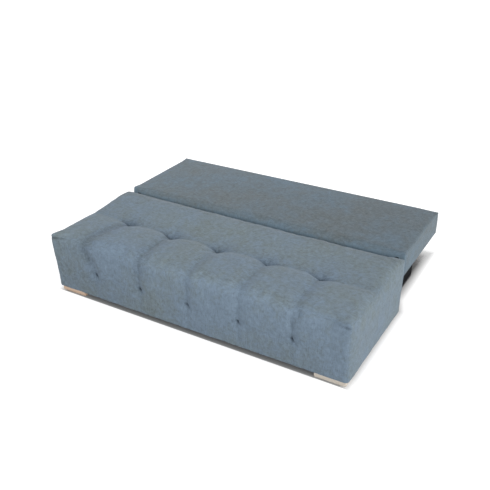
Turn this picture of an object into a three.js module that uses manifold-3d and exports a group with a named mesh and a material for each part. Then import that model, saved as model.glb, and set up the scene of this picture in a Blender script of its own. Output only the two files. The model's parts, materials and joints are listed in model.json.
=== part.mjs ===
// Click-clack sofa bed, laid flat: a tufted seat block that rolls forward off a bedding box,
// and a plain back slab that two ratchet hinges join to it.
// Millimetres. X runs along the sofa, Y from the seat's front to the back slab, Z up from the floor.
import * as THREE from "three";
import { mergeVertices } from "three/addons/utils/BufferGeometryUtils.js";
import Module from "manifold-3d";

const wasm = await Module();
wasm.setup();

// Whole sofa
const sofaWidth = 1900;
const seatDepth = 757;
const jointGap = 8; // between the seat's rear face and the flat back slab
const backLength = 630;
const backThickness = 148;
const backTopHeight = 398;
const footHeight = 28;
const clearance = 0.3; // between pieces that seat on, or run beside, each other
const cutOverrun = 6; // how far a cut runs past the face that it opens

// Seat block, outside
const seatEdgeDrop = 18; // from the slab's top down to the seat's front edge
const seatSideRadius = 28;
const seatFrontRadius = 34;
const seatRearRadius = 24; // upright rear corners, low down
const seatRearTopRadius = 60; // rear top edge, which the swinging back slab passes
const seatCrownMiddle = 26; // rise of the rear pillow over the middle of the seat
const seatCrownEnd = 16; // and at the seat's two ends
const frontPillowRise = 13;
const frontFaceSwell = 7;
const sideFaceSwell = 5;

// Sewn tufts
const tuftColumns = 5;
const tuftSpacing = 325;
const tuftRowDepth = 322; // from the seat's front to the row on top
const tuftRowHeight = 186; // from the floor to the row on the front
const tuftSink = 15;
const tuftSpread = 46;
const channelSink = 5; // a shallow fold runs along each row
const channelSpread = 30;
const valleySink = 8; // and one from each tuft on top to the one below it on the front
const valleySpread = 36;

// Shares that place the grid lines of the seat block: beside a tuft and above and below one, of
// its spread, and over the pillows in front of and behind the row on top, of their depths
const tuftLineShares = [-1.6, -0.5, 0, 0.5, 1.6];
const tuftRiseShares = [-1, -0.5, 0, 0.5, 1];
const frontPillowShares = [0.34, 0.67];
const rearPillowShares = [0.36, 0.56, 0.74];

// Seat shell and deck
const sidePadThickness = 50;
const frontPadThickness = 52;
const panelThickness = 18;
const deckLift = 12; // from the bedding box's top to the deck's rails, which roll over it
const railHeight = 78;
const railWidth = 40;
const railEdgeRadius = 4;
const rearRailSetback = 12; // from the seat's rear face to the rear rail
const springWire = 4;
const springWidth = 46;
const springPitch = 46;
const springClipWidth = 54;
const springClipThickness = 3;
const springClipHeight = 14;
const springDrop = 7; // from the rails' tops to the spring's centre line
const springCount = 6;

// Feet
const footLength = 176;
const footWidth = 70;
const footSetback = 12;
const footCornerRadius = 3;
const footBevel = 1.5;

// Castors under the seat's side panels
const castorRadius = 20;
const castorWidth = 10;
const castorTreadRadius = 2;
const castorBore = 3.4;
const castorAxleRadius = 3;
const castorFromRear = 57; // from the seat's rear face to the axle
const forkLength = 44;
const forkHeight = 47.5;
const forkSheet = 1.6;
const forkGap = 13;
const forkCornerRadius = 8;
const castorRecessMargin = 6;

// Bedding box
const boxUnderSeat = 327; // how far the box reaches in under the seat
const boxRearSetback = 158; // from the back slab's rear to the box's
const boxSideGap = 14; // from the seat's side panel to the box
const boxBoard = 16;
const boxFloorHeight = 36;
const boxFloorThickness = 4;
const battenHeight = 22;
const battenWidth = 28;
const runnerHeight = 12;
const runnerOverhang = 2;
const runnerSetback = 8;
const runnerChamfer = 8;

// Guide rollers on the box and their rails in the seat
const rollerRadius = 12;
const rollerWidth = 8;
const rollerBore = 4.4;
const rollerEdge = 1;
const studRadius = 4;
const studFlangeRadius = 7;
const studFlangeThickness = 1.8;
const rollerFromFront = 50; // from the box's front to the roller's axis
const rollerHeight = 150;
const guideSheet = 2;
const guideLipWidth = 11.5;
const boxStopGap = 29.4; // from the seat's front panel to the box, pushed in
const guideFrontStop = 34; // from the roller to the channel's end, pushed in
const guideRearStop = 40; // and pulled out

// Ratchet hinge
const pivotBehindEdge = 48; // from the flat back slab's front end to the pivot
const pivotDrop = 43; // from the slab's top to the pivot
const plateThickness = 4;
const sectorRadius = 26;
const columnHalfWidth = 16;
const webTopDrop = 69; // from the pivot down to the top of the web
const webBottomDrop = 97;
const webFillet = 12;
const flangeLength = 180;
const flangeDrop = 6; // from the deck's top to the flange
const flangeHeight = 52;
const flangeFromRear = 17; // from the seat's rear face to the flange's end
const flangeCorner = 9;
const pinRadius = 6;
const pinHoleRadius = 6.6;
const pinHeadRadius = 11;
const pinHeadThickness = 3.5;
const boltHoleRadius = 3;
const notchDepth = 5.6;
const notchMouth = 9;
const notchRoot = 5.5;
const notchAngles = [-10, 31, 72]; // degrees up from level: laid flat, lounging, upright
const pawlArm = 26; // from the pawl's post to its tooth
const pawlRimGap = 0.5;
const pawlHubRadius = 8;
const pawlPostOffset = 6; // how far the post lies outside the rim's tangent
const pawlPostRadius = 4;
const pawlHoleRadius = 4.5;
const pawlToothTip = 3;
const pawlToothRoot = 6.5;
const pawlToothLength = 7;
const pawlArmWidth = 9;
const postHeadHeight = 4.4;
const coilRadius = 6.2;
const coilWire = 1.3;
const coilTurns = 2.5;
const coilPitch = 1.7;
const coilLegLength = 13;
const backArmLength = 178;
const backArmTopDrop = 26;
const backArmBottomDrop = 64;
const backNeckRear = 35.2; // from the pivot back to the bend between head and arm
const backNeckFront = 17.6;
const backHeadRadius = 22;
const pocketMargin = 3; // round the hinge inside the upholstery
const pocketWidth = 13;

// Back slab
const backEdgeRadius = 19;
const backCornerRadius = 22;
const backLowerRadius = 12;
const backSwell = 4;
const backBorder = 14; // upholstery in front of and behind the back frame
const backFrameLift = 4; // from the slab's underside to the frame
const backFrameHeight = 78;
const backPanelThickness = 3;
const glideLength = 60;
const glideWidth = 30;
const glideDrop = 18; // from the slab's underside to the box's top, which the glides rest on
const glideFromRear = 87; // from the box's rear to the glides
const glideCorner = 6;

// Shares that place the grid lines of the slab's upholstery, of half its width and of its length
const slabWidthShares = [-0.8, -0.45, 0, 0.45, 0.8];
const slabLengthShares = [0.15, 0.35, 0.6, 0.85];

// Shares that place grid lines over a rounded edge: none of it, half its turn, all of it
const roundShares = [0, 0.586, 1];

const panelOuter = sofaWidth / 2 - sidePadThickness;
const panelInner = panelOuter - panelThickness;
const panelFront = frontPadThickness + clearance;
const deckFront = panelFront + panelThickness + clearance;
const deckRear = seatDepth - rearRailSetback;
const shellBottom = footHeight + clearance;
const seatEdgeHeight = backTopHeight - seatEdgeDrop;
const backBottom = backTopHeight - backThickness;
const boxHeight = backBottom - glideDrop;
const railBottom = boxHeight + deckLift;
const deckHeight = railBottom + railHeight; // top of the deck, which carries the mattress
const boxOuter = panelInner - boxSideGap;
const boxInner = boxOuter - boxBoard;
const backFront = seatDepth + jointGap;
const backRear = backFront + backLength;
const boxFront = seatDepth - boxUnderSeat;
const boxRear = backRear - boxRearSetback;
const slideTravel = boxFront - deckFront - boxStopGap; // how far the seat rolls back over the box
const pivotY = backFront + pivotBehindEdge;
const pivotHeight = backTopHeight - pivotDrop;
const flangeTop = deckHeight - flangeDrop;
const flangeBottom = flangeTop - flangeHeight;
const castorY = seatDepth - castorFromRear;
const rollerY = boxFront + rollerFromFront;
const guideFront = rollerY - slideTravel - guideFrontStop;
const guideRear = rollerY + guideRearStop;
const sides = { left: -1, right: 1 };

const fabric = new THREE.MeshStandardMaterial({ color: 0x66747f, roughness: 0.92, metalness: 0 });
const beech = new THREE.MeshStandardMaterial({ color: 0xdcc3a2, roughness: 0.55, metalness: 0 });
const frameWood = new THREE.MeshStandardMaterial({ color: 0xb9935f, roughness: 0.75, metalness: 0 });
const blackBoard = new THREE.MeshStandardMaterial({ color: 0x17191a, roughness: 0.7, metalness: 0 });
const hardboard = new THREE.MeshStandardMaterial({ color: 0x5a4330, roughness: 0.8, metalness: 0 });
const blackPlastic = new THREE.MeshStandardMaterial({ color: 0x1c1c1d, roughness: 0.5, metalness: 0 });
const nylon = new THREE.MeshStandardMaterial({ color: 0xd9d8d2, roughness: 0.45, metalness: 0 });
const zincSteel = new THREE.MeshStandardMaterial({ color: 0xa6abae, roughness: 0.4, metalness: 1 });
const darkSteel = new THREE.MeshStandardMaterial({ color: 0x3c4145, roughness: 0.45, metalness: 1 });

const sofa = new THREE.Group();

// Turns a closed three.js geometry into a solid that can be joined and cut.
function solid(geometry) {
  const bare = geometry.clone();
  bare.deleteAttribute("normal");
  bare.deleteAttribute("uv");
  const merged = mergeVertices(bare);
  return new wasm.Manifold(
    new wasm.Mesh({
      numProp: 3,
      vertProperties: merged.attributes.position.array,
      triVerts: new Uint32Array(merged.index.array),
    }),
  );
}

function join(...geometries) {
  return geometries.map(solid).reduce((whole, piece) => whole.add(piece));
}

function cut(body, ...tools) {
  return tools.reduce((rest, tool) => rest.subtract(solid(tool)), body);
}

function place(name, body, material) {
  let geometry = body;
  if (!body.isBufferGeometry) {
    const made = body.getMesh();
    geometry = new THREE.BufferGeometry()
      .setAttribute("position", new THREE.BufferAttribute(made.vertProperties, 3))
      .setIndex(new THREE.BufferAttribute(made.triVerts, 1))
      .toNonIndexed();
    geometry.computeVertexNormals();
  }
  const mesh = new THREE.Mesh(geometry, material);
  mesh.name = name;
  sofa.add(mesh);
}

// Calls a maker for the left and the right copy of a piece.
function onBothSides(make) {
  for (const [label, side] of Object.entries(sides)) make(label, side);
}

// The two x values of a piece that lies between two distances from the sofa's middle.
function across(side, inner, outer) {
  return side > 0 ? [inner, outer] : [-outer, -inner];
}

function box([x0, x1], [y0, y1], [z0, z1]) {
  return new THREE.BoxGeometry(x1 - x0, y1 - y0, z1 - z0).translate(
    (x0 + x1) / 2,
    (y0 + y1) / 2,
    (z0 + z1) / 2,
  );
}

// An outline through the given corners, rounded to the radius that a corner names, or the common one.
function outline(corners, radius = 0) {
  const shape = new THREE.Shape();
  const toward = (from, to, distance) => {
    const reach = Math.hypot(to[0] - from[0], to[1] - from[1]);
    return [0, 1].map((k) => from[k] + ((to[k] - from[k]) * distance) / reach);
  };
  corners.forEach((corner, i) => {
    const r = corner[2] ?? radius;
    const start = toward(corner, corners.at(i - 1), r);
    const end = toward(corner, corners[(i + 1) % corners.length], r);
    if (i === 0) shape.moveTo(...start);
    else shape.lineTo(...start);
    if (r > 0) shape.quadraticCurveTo(corner[0], corner[1], ...end);
  });
  shape.closePath();
  return shape;
}

function rectangle([u0, u1], [v0, v1], radius) {
  return outline([[u0, v0], [u1, v0], [u1, v1], [u0, v1]], radius);
}

function disc(u, v, radius) {
  const shape = new THREE.Shape();
  shape.absarc(u, v, radius, 0, 2 * Math.PI);
  return shape;
}

function extrude(shape, depth, segments) {
  return new THREE.ExtrudeGeometry(shape, { depth, bevelEnabled: false, curveSegments: segments });
}

const axisX = new THREE.Vector3(1, 0, 0);
const axisY = new THREE.Vector3(0, 1, 0);
const axisZ = new THREE.Vector3(0, 0, 1);

// A profile drawn in Y and Z, run along X.
function alongX(shape, [x0, x1], segments = 3) {
  const turn = new THREE.Matrix4().makeBasis(axisY, axisZ, axisX);
  return extrude(shape, x1 - x0, segments).applyMatrix4(turn).translate(x0, 0, 0);
}

// A profile drawn in X and Z, run along Y.
function alongY(shape, [y0, y1], segments = 3) {
  const turn = new THREE.Matrix4().makeBasis(axisX, axisZ, axisY.clone().negate());
  return extrude(shape, y1 - y0, segments).applyMatrix4(turn).translate(0, y1, 0);
}

// A profile of [radius, distance] points, turned about a line along X through (y, z).
function turnedAlongX(profile, side, x, y, z, segments) {
  const points = profile.map(([radius, along]) => new THREE.Vector2(radius, along));
  return new THREE.LatheGeometry(points, segments)
    .rotateZ((-side * Math.PI) / 2)
    .translate(side * x, y, z);
}

// A round bar or hole along X.
function roundBar(side, [inner, outer], radius, y, z, segments = 16) {
  const length = outer - inner;
  return new THREE.CylinderGeometry(radius, radius, length, segments)
    .rotateZ(Math.PI / 2)
    .translate(side * (inner + length / 2), y, z);
}

// A closed box of grid lines whose points a function then moves.
function gridSolid(xs, ys, zs, move) {
  const points = [];
  const corner = (axes, u, v, w) => {
    const at = [0, 0, 0];
    at[axes[0]] = u;
    at[axes[1]] = v;
    at[axes[2]] = w;
    return at;
  };
  const lines = [xs, ys, zs];
  for (const axes of [[0, 1, 2], [1, 2, 0], [2, 0, 1]]) {
    const [us, vs, ws] = axes.map((axis) => lines[axis]);
    for (const far of [true, false]) {
      const w = far ? ws.at(-1) : ws[0];
      for (let i = 0; i < us.length - 1; i++)
        for (let j = 0; j < vs.length - 1; j++) {
          const quad = [[0, 0], [1, 0], [1, 1], [0, 1]].map(([a, b]) =>
            move(corner(axes, us[i + a], vs[j + b], w)),
          );
          if (!far) quad.reverse();
          points.push(quad[0], quad[1], quad[2], quad[0], quad[2], quad[3]);
        }
    }
  }
  const positions = new Float32Array(points.flat());
  return new THREE.BufferGeometry().setAttribute("position", new THREE.BufferAttribute(positions, 3));
}

// Grid lines from a rounded low end, through the lines between, to a rounded high end.
function gridLines(low, high, lowRadius, highRadius, between) {
  const start = roundShares.map((share) => low + share * lowRadius);
  const end = roundShares.map((share) => high - share * highRadius);
  return [...new Set([...start, ...between, ...end])].sort((a, b) => a - b);
}

// Bends a point of a box's surface onto the box with its edges rounded, and gives the outward
// direction there. A radius is given for each end of each axis.
function roundOff(point, ends, radii) {
  const core = [];
  const lean = [];
  for (let k = 0; k < 3; k++) {
    const [low, high] = ends[k];
    const [lowRadius, highRadius] = radii[k];
    core[k] = Math.min(Math.max(point[k], low + lowRadius), high - highRadius);
    const radius = point[k] < core[k] ? lowRadius : highRadius;
    lean[k] = radius > 0 ? (point[k] - core[k]) / radius : 0;
  }
  const size = Math.hypot(...lean);
  const out = size > 0 ? lean.map((v) => v / size) : lean;
  const moved = core.map((v, k) => v + out[k] * radii[k][point[k] < v ? 0 : 1]);
  return { moved, out };
}

const bell = (distance, spread) => Math.exp(-((distance / spread) ** 2));
const limit = (value) => Math.min(Math.max(value, 0), 1);
const ease = (value) => limit(value) ** 2 * (3 - 2 * limit(value));
const tuftXs = Array.from({ length: tuftColumns }, (_, i) => (i - (tuftColumns - 1) / 2) * tuftSpacing);
const nearestTuft = (x) => Math.min(...tuftXs.map((tuft) => Math.abs(x - tuft)));

// A tuft pulls the cover down steeply at its stitch and more gently further out.
function tuftDip(acrossDistance, alongDistance) {
  return tuftSink * Math.exp(-((Math.hypot(acrossDistance, alongDistance) / tuftSpread) ** 1.2));
}

// How far the seat's top stands above its front edge.
function topLift(x, y) {
  const middle = 1 - Math.abs((2 * x) / sofaWidth) ** 4;
  const rearShare = limit((y - tuftRowDepth) / (seatDepth - tuftRowDepth));
  const crown = seatCrownEnd + (seatCrownMiddle - seatCrownEnd) * middle;
  const rear = crown * Math.sin(Math.PI * rearShare ** 2);
  const front = frontPillowRise * middle * Math.sin(Math.PI * limit(y / tuftRowDepth));
  const toTuft = nearestTuft(x);
  const row = channelSink * bell(y - tuftRowDepth, channelSpread);
  const valleyEnd = 1 - ease((y - tuftRowDepth) / tuftSpread);
  const valley = valleySink * bell(toTuft, valleySpread) * valleyEnd;
  return rear + front - row - valley - tuftDip(toTuft, y - tuftRowDepth);
}

// How far the seat's front face stands proud of its edges.
function frontSwell(x, z) {
  const share = limit((z - shellBottom) / (seatEdgeHeight - shellBottom));
  const middle = 1 - Math.abs((2 * x) / sofaWidth) ** 6;
  const toTuft = nearestTuft(x);
  const valleyStart = ease((z - tuftRowHeight + tuftSpread) / tuftSpread);
  const valley = valleySink * bell(toTuft, valleySpread) * valleyStart;
  const row = (channelSink / 2) * bell(z - tuftRowHeight, channelSpread);
  const swell = frontFaceSwell * Math.sin(Math.PI * share) * middle;
  return swell - valley - row - tuftDip(toTuft, z - tuftRowHeight);
}

function seatPoint(point) {
  const rearTop = ease((point[2] - railBottom) / (deckHeight - railBottom));
  const rearRadius = seatRearRadius + (seatRearTopRadius - seatRearRadius) * rearTop;
  const rearward = ease(point[1] / seatDepth);
  const topRadius = seatFrontRadius + (seatRearTopRadius - seatFrontRadius) * rearward;
  const ends = [[-sofaWidth / 2, sofaWidth / 2], [0, seatDepth], [shellBottom, seatEdgeHeight]];
  const radii = [[seatSideRadius, seatSideRadius], [seatFrontRadius, rearRadius], [0, topRadius]];
  const { moved, out } = roundOff(point, ends, radii);
  const upward = Math.max(out[2], 0) ** 2;
  const forward = Math.max(-out[1], 0) ** 2;
  const outward = out[0] ** 2 * Math.sign(out[0]);
  const heightShare = limit((point[2] - shellBottom) / (seatEdgeHeight - shellBottom));
  const depthShare = limit(point[1] / seatDepth);
  const sideSwell = sideFaceSwell * Math.sin(Math.PI * heightShare) * Math.sin(Math.PI * depthShare);
  return [
    moved[0] + outward * sideSwell,
    moved[1] - forward * frontSwell(point[0], moved[2]),
    moved[2] + upward * topLift(point[0], moved[1]),
  ];
}

// The whole seat block's upholstered outside, which the pads below are cut from.
function seatBlock() {
  const halfWidth = sofaWidth / 2;
  const besideTuft = tuftLineShares.map((lineShare) => lineShare * tuftSpread);
  const column = [...besideTuft, tuftSpacing / 2];
  const xs = tuftXs.flatMap((tuft) => column.map((line) => tuft + line));
  xs.pop();
  const lastTuft = tuftXs.at(-1);
  const endLine = (lastTuft + halfWidth) / 2;
  xs.push(-endLine, endLine);
  const frontPillow = tuftRowDepth + besideTuft[0];
  const rearPillow = seatDepth - tuftRowDepth;
  const ys = [
    ...frontPillowShares.map((rowShare) => rowShare * frontPillow),
    ...besideTuft.map((line) => tuftRowDepth + line),
    ...rearPillowShares.map((rowShare) => tuftRowDepth + rowShare * rearPillow),
  ];
  const zs = [
    (shellBottom + tuftRowHeight - tuftSpread) / 2,
    ...tuftRiseShares.map((lineShare) => tuftRowHeight + lineShare * tuftSpread),
    (tuftRowHeight + tuftSpread + deckHeight) / 2,
    deckHeight,
  ];
  return solid(
    gridSolid(
      gridLines(-halfWidth, halfWidth, seatSideRadius, seatSideRadius, xs),
      gridLines(0, seatDepth, seatFrontRadius, seatRearTopRadius, ys),
      gridLines(shellBottom, seatEdgeHeight, 0, seatFrontRadius, zs),
      seatPoint,
    ),
  );
}

// Mattress, front pad and side pads: the one block, parted at the deck and at the panels.
function seatUpholstery() {
  const block = seatBlock();
  const wide = [-sofaWidth, sofaWidth];
  const deep = [-seatDepth, 2 * seatDepth];
  const low = [-seatDepth, deckHeight];
  const high = [deckHeight + clearance, 2 * seatEdgeHeight];
  const ahead = [-seatDepth, frontPadThickness];
  place("seat_mattress", block.intersect(solid(box(wide, deep, high))), fabric);
  place("seat_front_pad", block.intersect(solid(box(wide, ahead, low))), fabric);
  onBothSides((label, side) => {
    const x = across(side, panelOuter + clearance, sofaWidth);
    const pad = block.intersect(solid(box(x, [panelFront, 2 * seatDepth], low)));
    const recess = box(
      across(side, 0, panelOuter + pocketWidth),
      [seatDepth - flangeFromRear - flangeLength - pocketMargin, 2 * seatDepth],
      [pivotHeight - webBottomDrop - pocketMargin, 2 * seatEdgeHeight],
    );
    place("seat_side_pad_" + label, cut(pad, recess), fabric);
  });
}

function seatShell() {
  const frontShape = rectangle([-panelOuter, panelOuter], [shellBottom, deckHeight], railEdgeRadius);
  place("seat_panel_front", alongY(frontShape, [panelFront, panelFront + panelThickness]), frameWood);
  const recess = forkLength / 2 + castorRecessMargin;
  onBothSides((label, side) => {
    const shape = outline(
      [
        [deckFront, shellBottom, 0],
        [castorY - recess, shellBottom],
        [castorY - recess, forkHeight + clearance],
        [castorY + recess, forkHeight + clearance],
        [castorY + recess, shellBottom],
        [deckRear, shellBottom],
        [deckRear, deckHeight],
        [deckFront, deckHeight, 0],
      ],
      railEdgeRadius,
    );
    place("seat_panel_" + label, alongX(shape, across(side, panelInner, panelOuter), 2), frameWood);
  });
}

function deckFrame() {
  const frameOuter = panelInner - clearance;
  const section = (low) => rectangle([low, low + railWidth], [railBottom, deckHeight], railEdgeRadius);
  const long = [-frameOuter, frameOuter];
  place("deck_rail_front", alongX(section(deckFront), long, 2), frameWood);
  place("deck_rail_rear", alongX(section(deckRear - railWidth), long, 2), frameWood);
  const short = [deckFront + railWidth + clearance, deckRear - railWidth - clearance];
  onBothSides((label, side) => {
    const low = across(side, frameOuter - railWidth, frameOuter)[0];
    place("deck_rail_" + label, alongY(section(low), short, 2), frameWood);
  });
  place("deck_stretcher", alongY(section(-railWidth / 2), short, 2), frameWood);
}

// A sinuous spring: one wire that winds from side to side between a clip on each long rail.
function deckSprings() {
  const front = deckFront + railWidth + clearance;
  const rear = deckRear - railWidth - clearance;
  const height = deckHeight - springDrop;
  const run = rear - front - 2 * springClipThickness;
  const bends = 2 * Math.round(run / springPitch / 2);
  const stepsPerBend = 4;
  const bay = (2 * (panelInner - railWidth)) / springCount;
  for (let i = 0; i < springCount; i++) {
    const x = (i - (springCount - 1) / 2) * bay;
    const points = [];
    for (let step = 0; step <= bends * stepsPerBend; step++) {
      const turn = (Math.PI * step) / stepsPerBend;
      const y = front + springClipThickness + (run * step) / (bends * stepsPerBend);
      const sway = (springWidth / 2) * Math.sin(turn);
      points.push(new THREE.Vector3(x + sway, y, height));
    }
    points[0].y -= springClipThickness / 2;
    points.at(-1).y += springClipThickness / 2;
    const wire = new THREE.ExtrudeGeometry(wireSection(springWire / 2, 5), {
      steps: bends * stepsPerBend,
      bevelEnabled: false,
      extrudePath: new THREE.CatmullRomCurve3(points),
    });
    const clip = (y) =>
      box(
        [x - springClipWidth / 2, x + springClipWidth / 2],
        [y, y + springClipThickness],
        [height - springClipHeight / 2, height + springClipHeight / 2],
      );
    const whole = join(wire, clip(front), clip(rear - springClipThickness));
    place("deck_spring_" + (i + 1), whole, zincSteel);
  }
}

function wireSection(radius, count) {
  const shape = new THREE.Shape();
  for (let i = 0; i < count; i++) {
    const angle = (2 * Math.PI * i) / count;
    const at = [radius * Math.cos(angle), radius * Math.sin(angle)];
    if (i === 0) shape.moveTo(...at);
    else shape.lineTo(...at);
  }
  shape.closePath();
  return shape;
}

function feet() {
  const outer = panelOuter + sidePadThickness - footSetback;
  onBothSides((label, side) => {
    const plan = rectangle(
      across(side, outer - footLength, outer).map((x, i) => x + (i === 0 ? footBevel : -footBevel)),
      [footSetback + footBevel, footSetback + footWidth - footBevel],
      footCornerRadius,
    );
    const block = new THREE.ExtrudeGeometry(plan, {
      depth: footHeight - 2 * footBevel,
      bevelThickness: footBevel,
      bevelSize: footBevel,
      bevelSegments: 1,
      curveSegments: 2,
    });
    place("foot_" + label, block.translate(0, 0, footBevel), beech);
  });
}

function castors() {
  const middle = (panelInner + panelOuter) / 2;
  const halfGap = forkGap / 2;
  const halfWheel = castorWidth / 2;
  const tread = castorRadius - castorTreadRadius;
  onBothSides((label, side) => {
    const cheek = outline([
      [castorY - forkLength / 2, forkHeight, 0],
      [castorY - forkCornerRadius, castorRadius - forkCornerRadius, forkCornerRadius / 2],
      [castorY + forkCornerRadius, castorRadius - forkCornerRadius, forkCornerRadius / 2],
      [castorY + forkLength / 2, forkHeight, 0],
    ]);
    const fork = join(
      alongX(cheek, across(side, middle - halfGap - forkSheet, middle - halfGap)),
      alongX(cheek, across(side, middle + halfGap, middle + halfGap + forkSheet)),
      box(
        across(side, middle - halfGap - forkSheet / 2, middle + halfGap + forkSheet / 2),
        [castorY - forkLength / 2, castorY + forkLength / 2],
        [forkHeight - forkSheet, forkHeight],
      ),
      roundBar(
        side,
        [middle - halfGap - forkSheet / 2, middle + halfGap + forkSheet / 2],
        castorAxleRadius,
        castorY,
        castorRadius,
        12,
      ),
    );
    place("castor_fork_" + label, fork, zincSteel);
    const wheel = turnedAlongX(
      [
        [castorBore, -halfWheel],
        [tread, -halfWheel],
        [castorRadius, -halfWheel + castorTreadRadius],
        [castorRadius, halfWheel - castorTreadRadius],
        [tread, halfWheel],
        [castorBore, halfWheel],
        [castorBore, -halfWheel],
      ],
      side,
      middle,
      castorY,
      castorRadius,
      24,
    );
    place("castor_wheel_" + label, wheel, blackPlastic);
  });
}

function beddingBox() {
  const boardBottom = runnerHeight + clearance;
  const between = boxInner - clearance;
  const inside = [boxFront + boxBoard + clearance, boxRear - boxBoard - clearance];
  const upright = rectangle([-between, between], [boardBottom, boxHeight], 0);
  place("box_board_front", alongY(upright, [boxFront, boxFront + boxBoard]), blackBoard);
  place("box_board_rear", alongY(upright, [boxRear - boxBoard, boxRear]), blackBoard);
  const floorTop = boxFloorHeight + boxFloorThickness;
  place("box_floor", box([-between, between], inside, [boxFloorHeight, floorTop]), hardboard);
  const battenTop = boxFloorHeight - clearance;
  const batten = (low) =>
    rectangle([low, low + battenWidth], [battenTop - battenHeight, battenTop], railEdgeRadius / 2);
  place("box_batten_middle", alongY(batten(-battenWidth / 2), inside, 1), frameWood);
  onBothSides((label, side) => {
    const board = rectangle([boxFront, boxRear], [boardBottom, boxHeight], railEdgeRadius);
    const x = across(side, boxInner, boxOuter);
    const studHole = roundBar(
      side,
      [boxInner - cutOverrun, boxOuter + cutOverrun],
      studRadius + clearance,
      rollerY,
      rollerHeight,
    );
    place("box_board_" + label, cut(solid(alongX(board, x, 2)), studHole), blackBoard);
    const low = across(side, between - battenWidth, between)[0];
    place("box_batten_" + label, alongY(batten(low), inside, 1), frameWood);
    const runner = outline([
      [boxFront + runnerSetback + runnerChamfer, 0],
      [boxRear - runnerSetback - runnerChamfer, 0],
      [boxRear - runnerSetback, runnerHeight],
      [boxFront + runnerSetback, runnerHeight],
    ]);
    const width = across(side, boxInner - runnerOverhang, boxOuter + runnerOverhang);
    place("box_runner_" + label, alongX(runner, width), blackPlastic);
  });
}

// A stud in the box's side carries a roller, which runs inside a channel on the seat's panel.
function guides() {
  const flangeStart = boxOuter + clearance;
  const rollerStart = flangeStart + studFlangeThickness + clearance;
  const rollerEnd = rollerStart + rollerWidth;
  const channelHalf = rollerRadius + clearance;
  const studRun = [boxInner, rollerEnd + clearance];
  const collar = [flangeStart, flangeStart + studFlangeThickness];
  onBothSides((label, side) => {
    const stud = join(
      roundBar(side, studRun, studRadius, rollerY, rollerHeight),
      roundBar(side, collar, studFlangeRadius, rollerY, rollerHeight),
    );
    place("guide_stud_" + label, stud, zincSteel);
    const roller = turnedAlongX(
      [
        [rollerBore, 0],
        [rollerRadius - rollerEdge, 0],
        [rollerRadius, rollerEdge],
        [rollerRadius, rollerWidth - rollerEdge],
        [rollerRadius - rollerEdge, rollerWidth],
        [rollerBore, rollerWidth],
        [rollerBore, 0],
      ],
      side,
      rollerStart,
      rollerY,
      rollerHeight,
      20,
    );
    place("guide_roller_" + label, roller, nylon);
    const back = side * (panelInner - clearance);
    const face = side * (panelInner - clearance - guideSheet);
    const lip = side * (panelInner - clearance - guideLipWidth);
    const low = rollerHeight - channelHalf;
    const high = rollerHeight + channelHalf;
    const channel = outline(
      [
        [back, low - guideSheet],
        [back, high + guideSheet],
        [lip, high + guideSheet],
        [lip, high],
        [face, high],
        [face, low],
        [lip, low],
        [lip, low - guideSheet],
      ],
    );
    place("guide_rail_" + label, alongY(channel, [guideFront, guideRear]), zincSteel);
  });
}

const atPivot = (y, z) => [pivotY + y, pivotHeight + z];
const radians = (degrees) => (degrees * Math.PI) / 180;

// A wedge across a round rim: a notch of the ratchet, or the pawl's tooth, pointing at the pivot.
function rimWedge(degrees, rimRadius, depth, mouth, root, outside) {
  const angle = radians(degrees);
  const along = [Math.cos(angle), Math.sin(angle)];
  const point = (radius, offset) =>
    atPivot(radius * along[0] - offset * along[1], radius * along[1] + offset * along[0]);
  const slope = (mouth - root) / 2 / depth;
  const outerHalf = mouth / 2 + slope * outside;
  return outline([
    point(rimRadius - depth, -root / 2),
    point(rimRadius + outside, -outerHalf),
    point(rimRadius + outside, outerHalf),
    point(rimRadius - depth, root / 2),
  ]);
}

// Seat plate: a flange on the seat's panel, a web that reaches back below the slab's path,
// and a column up to the toothed sector round the pivot.
function seatPlate(side) {
  const x = across(side, panelOuter + clearance, panelOuter + clearance + plateThickness);
  const flangeRear = seatDepth - flangeFromRear;
  const flangeFront = flangeRear - flangeLength;
  const webTop = pivotHeight - webTopDrop;
  const webBottom = pivotHeight - webBottomDrop;
  const arm = outline([
    [flangeFront, flangeBottom, flangeCorner],
    [flangeRear - flangeLength / 4, flangeBottom, flangeCorner],
    [flangeRear, webBottom, flangeCorner],
    [pivotY + columnHalfWidth, webBottom, webFillet],
    [pivotY + columnHalfWidth, pivotHeight],
    [pivotY - columnHalfWidth, pivotHeight],
    [pivotY - columnHalfWidth, webTop, webFillet],
    [flangeRear, webTop, flangeCorner],
    [flangeRear, flangeTop, flangeCorner],
    [flangeFront, flangeTop, flangeCorner],
  ]);
  const head = alongX(disc(pivotY, pivotHeight, sectorRadius), x, 20);
  const cutX = across(side, panelOuter, panelOuter + plateThickness + cutOverrun);
  const notches = notchAngles.map((angle) =>
    alongX(rimWedge(angle, sectorRadius, notchDepth, notchMouth, notchRoot, cutOverrun), cutX),
  );
  const reach = [panelOuter, panelOuter + plateThickness + cutOverrun];
  const inset = (flangeTop - flangeBottom) / 4;
  const boltYs = [flangeFront + inset, flangeRear - inset];
  const boltZs = [flangeBottom + inset, flangeTop - inset];
  const bolts = boltYs.flatMap((y) =>
    boltZs.map((z) => roundBar(side, reach, boltHoleRadius, y, z, 8)),
  );
  const pinHole = roundBar(side, reach, pinHoleRadius, pivotY, pivotHeight);
  return cut(join(alongX(arm, x), head), ...notches, ...bolts, pinHole);
}

// The pawl's post stands beside the rim, so that the pawl's tooth swings in nearly along a radius.
function pawlPost() {
  const angle = radians(notchAngles[0]);
  const tip = sectorRadius + pawlRimGap;
  const along = [Math.cos(angle), Math.sin(angle)];
  const offset = tip + pawlPostOffset;
  return [offset * along[0] + pawlArm * along[1], offset * along[1] - pawlArm * along[0]];
}

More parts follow.
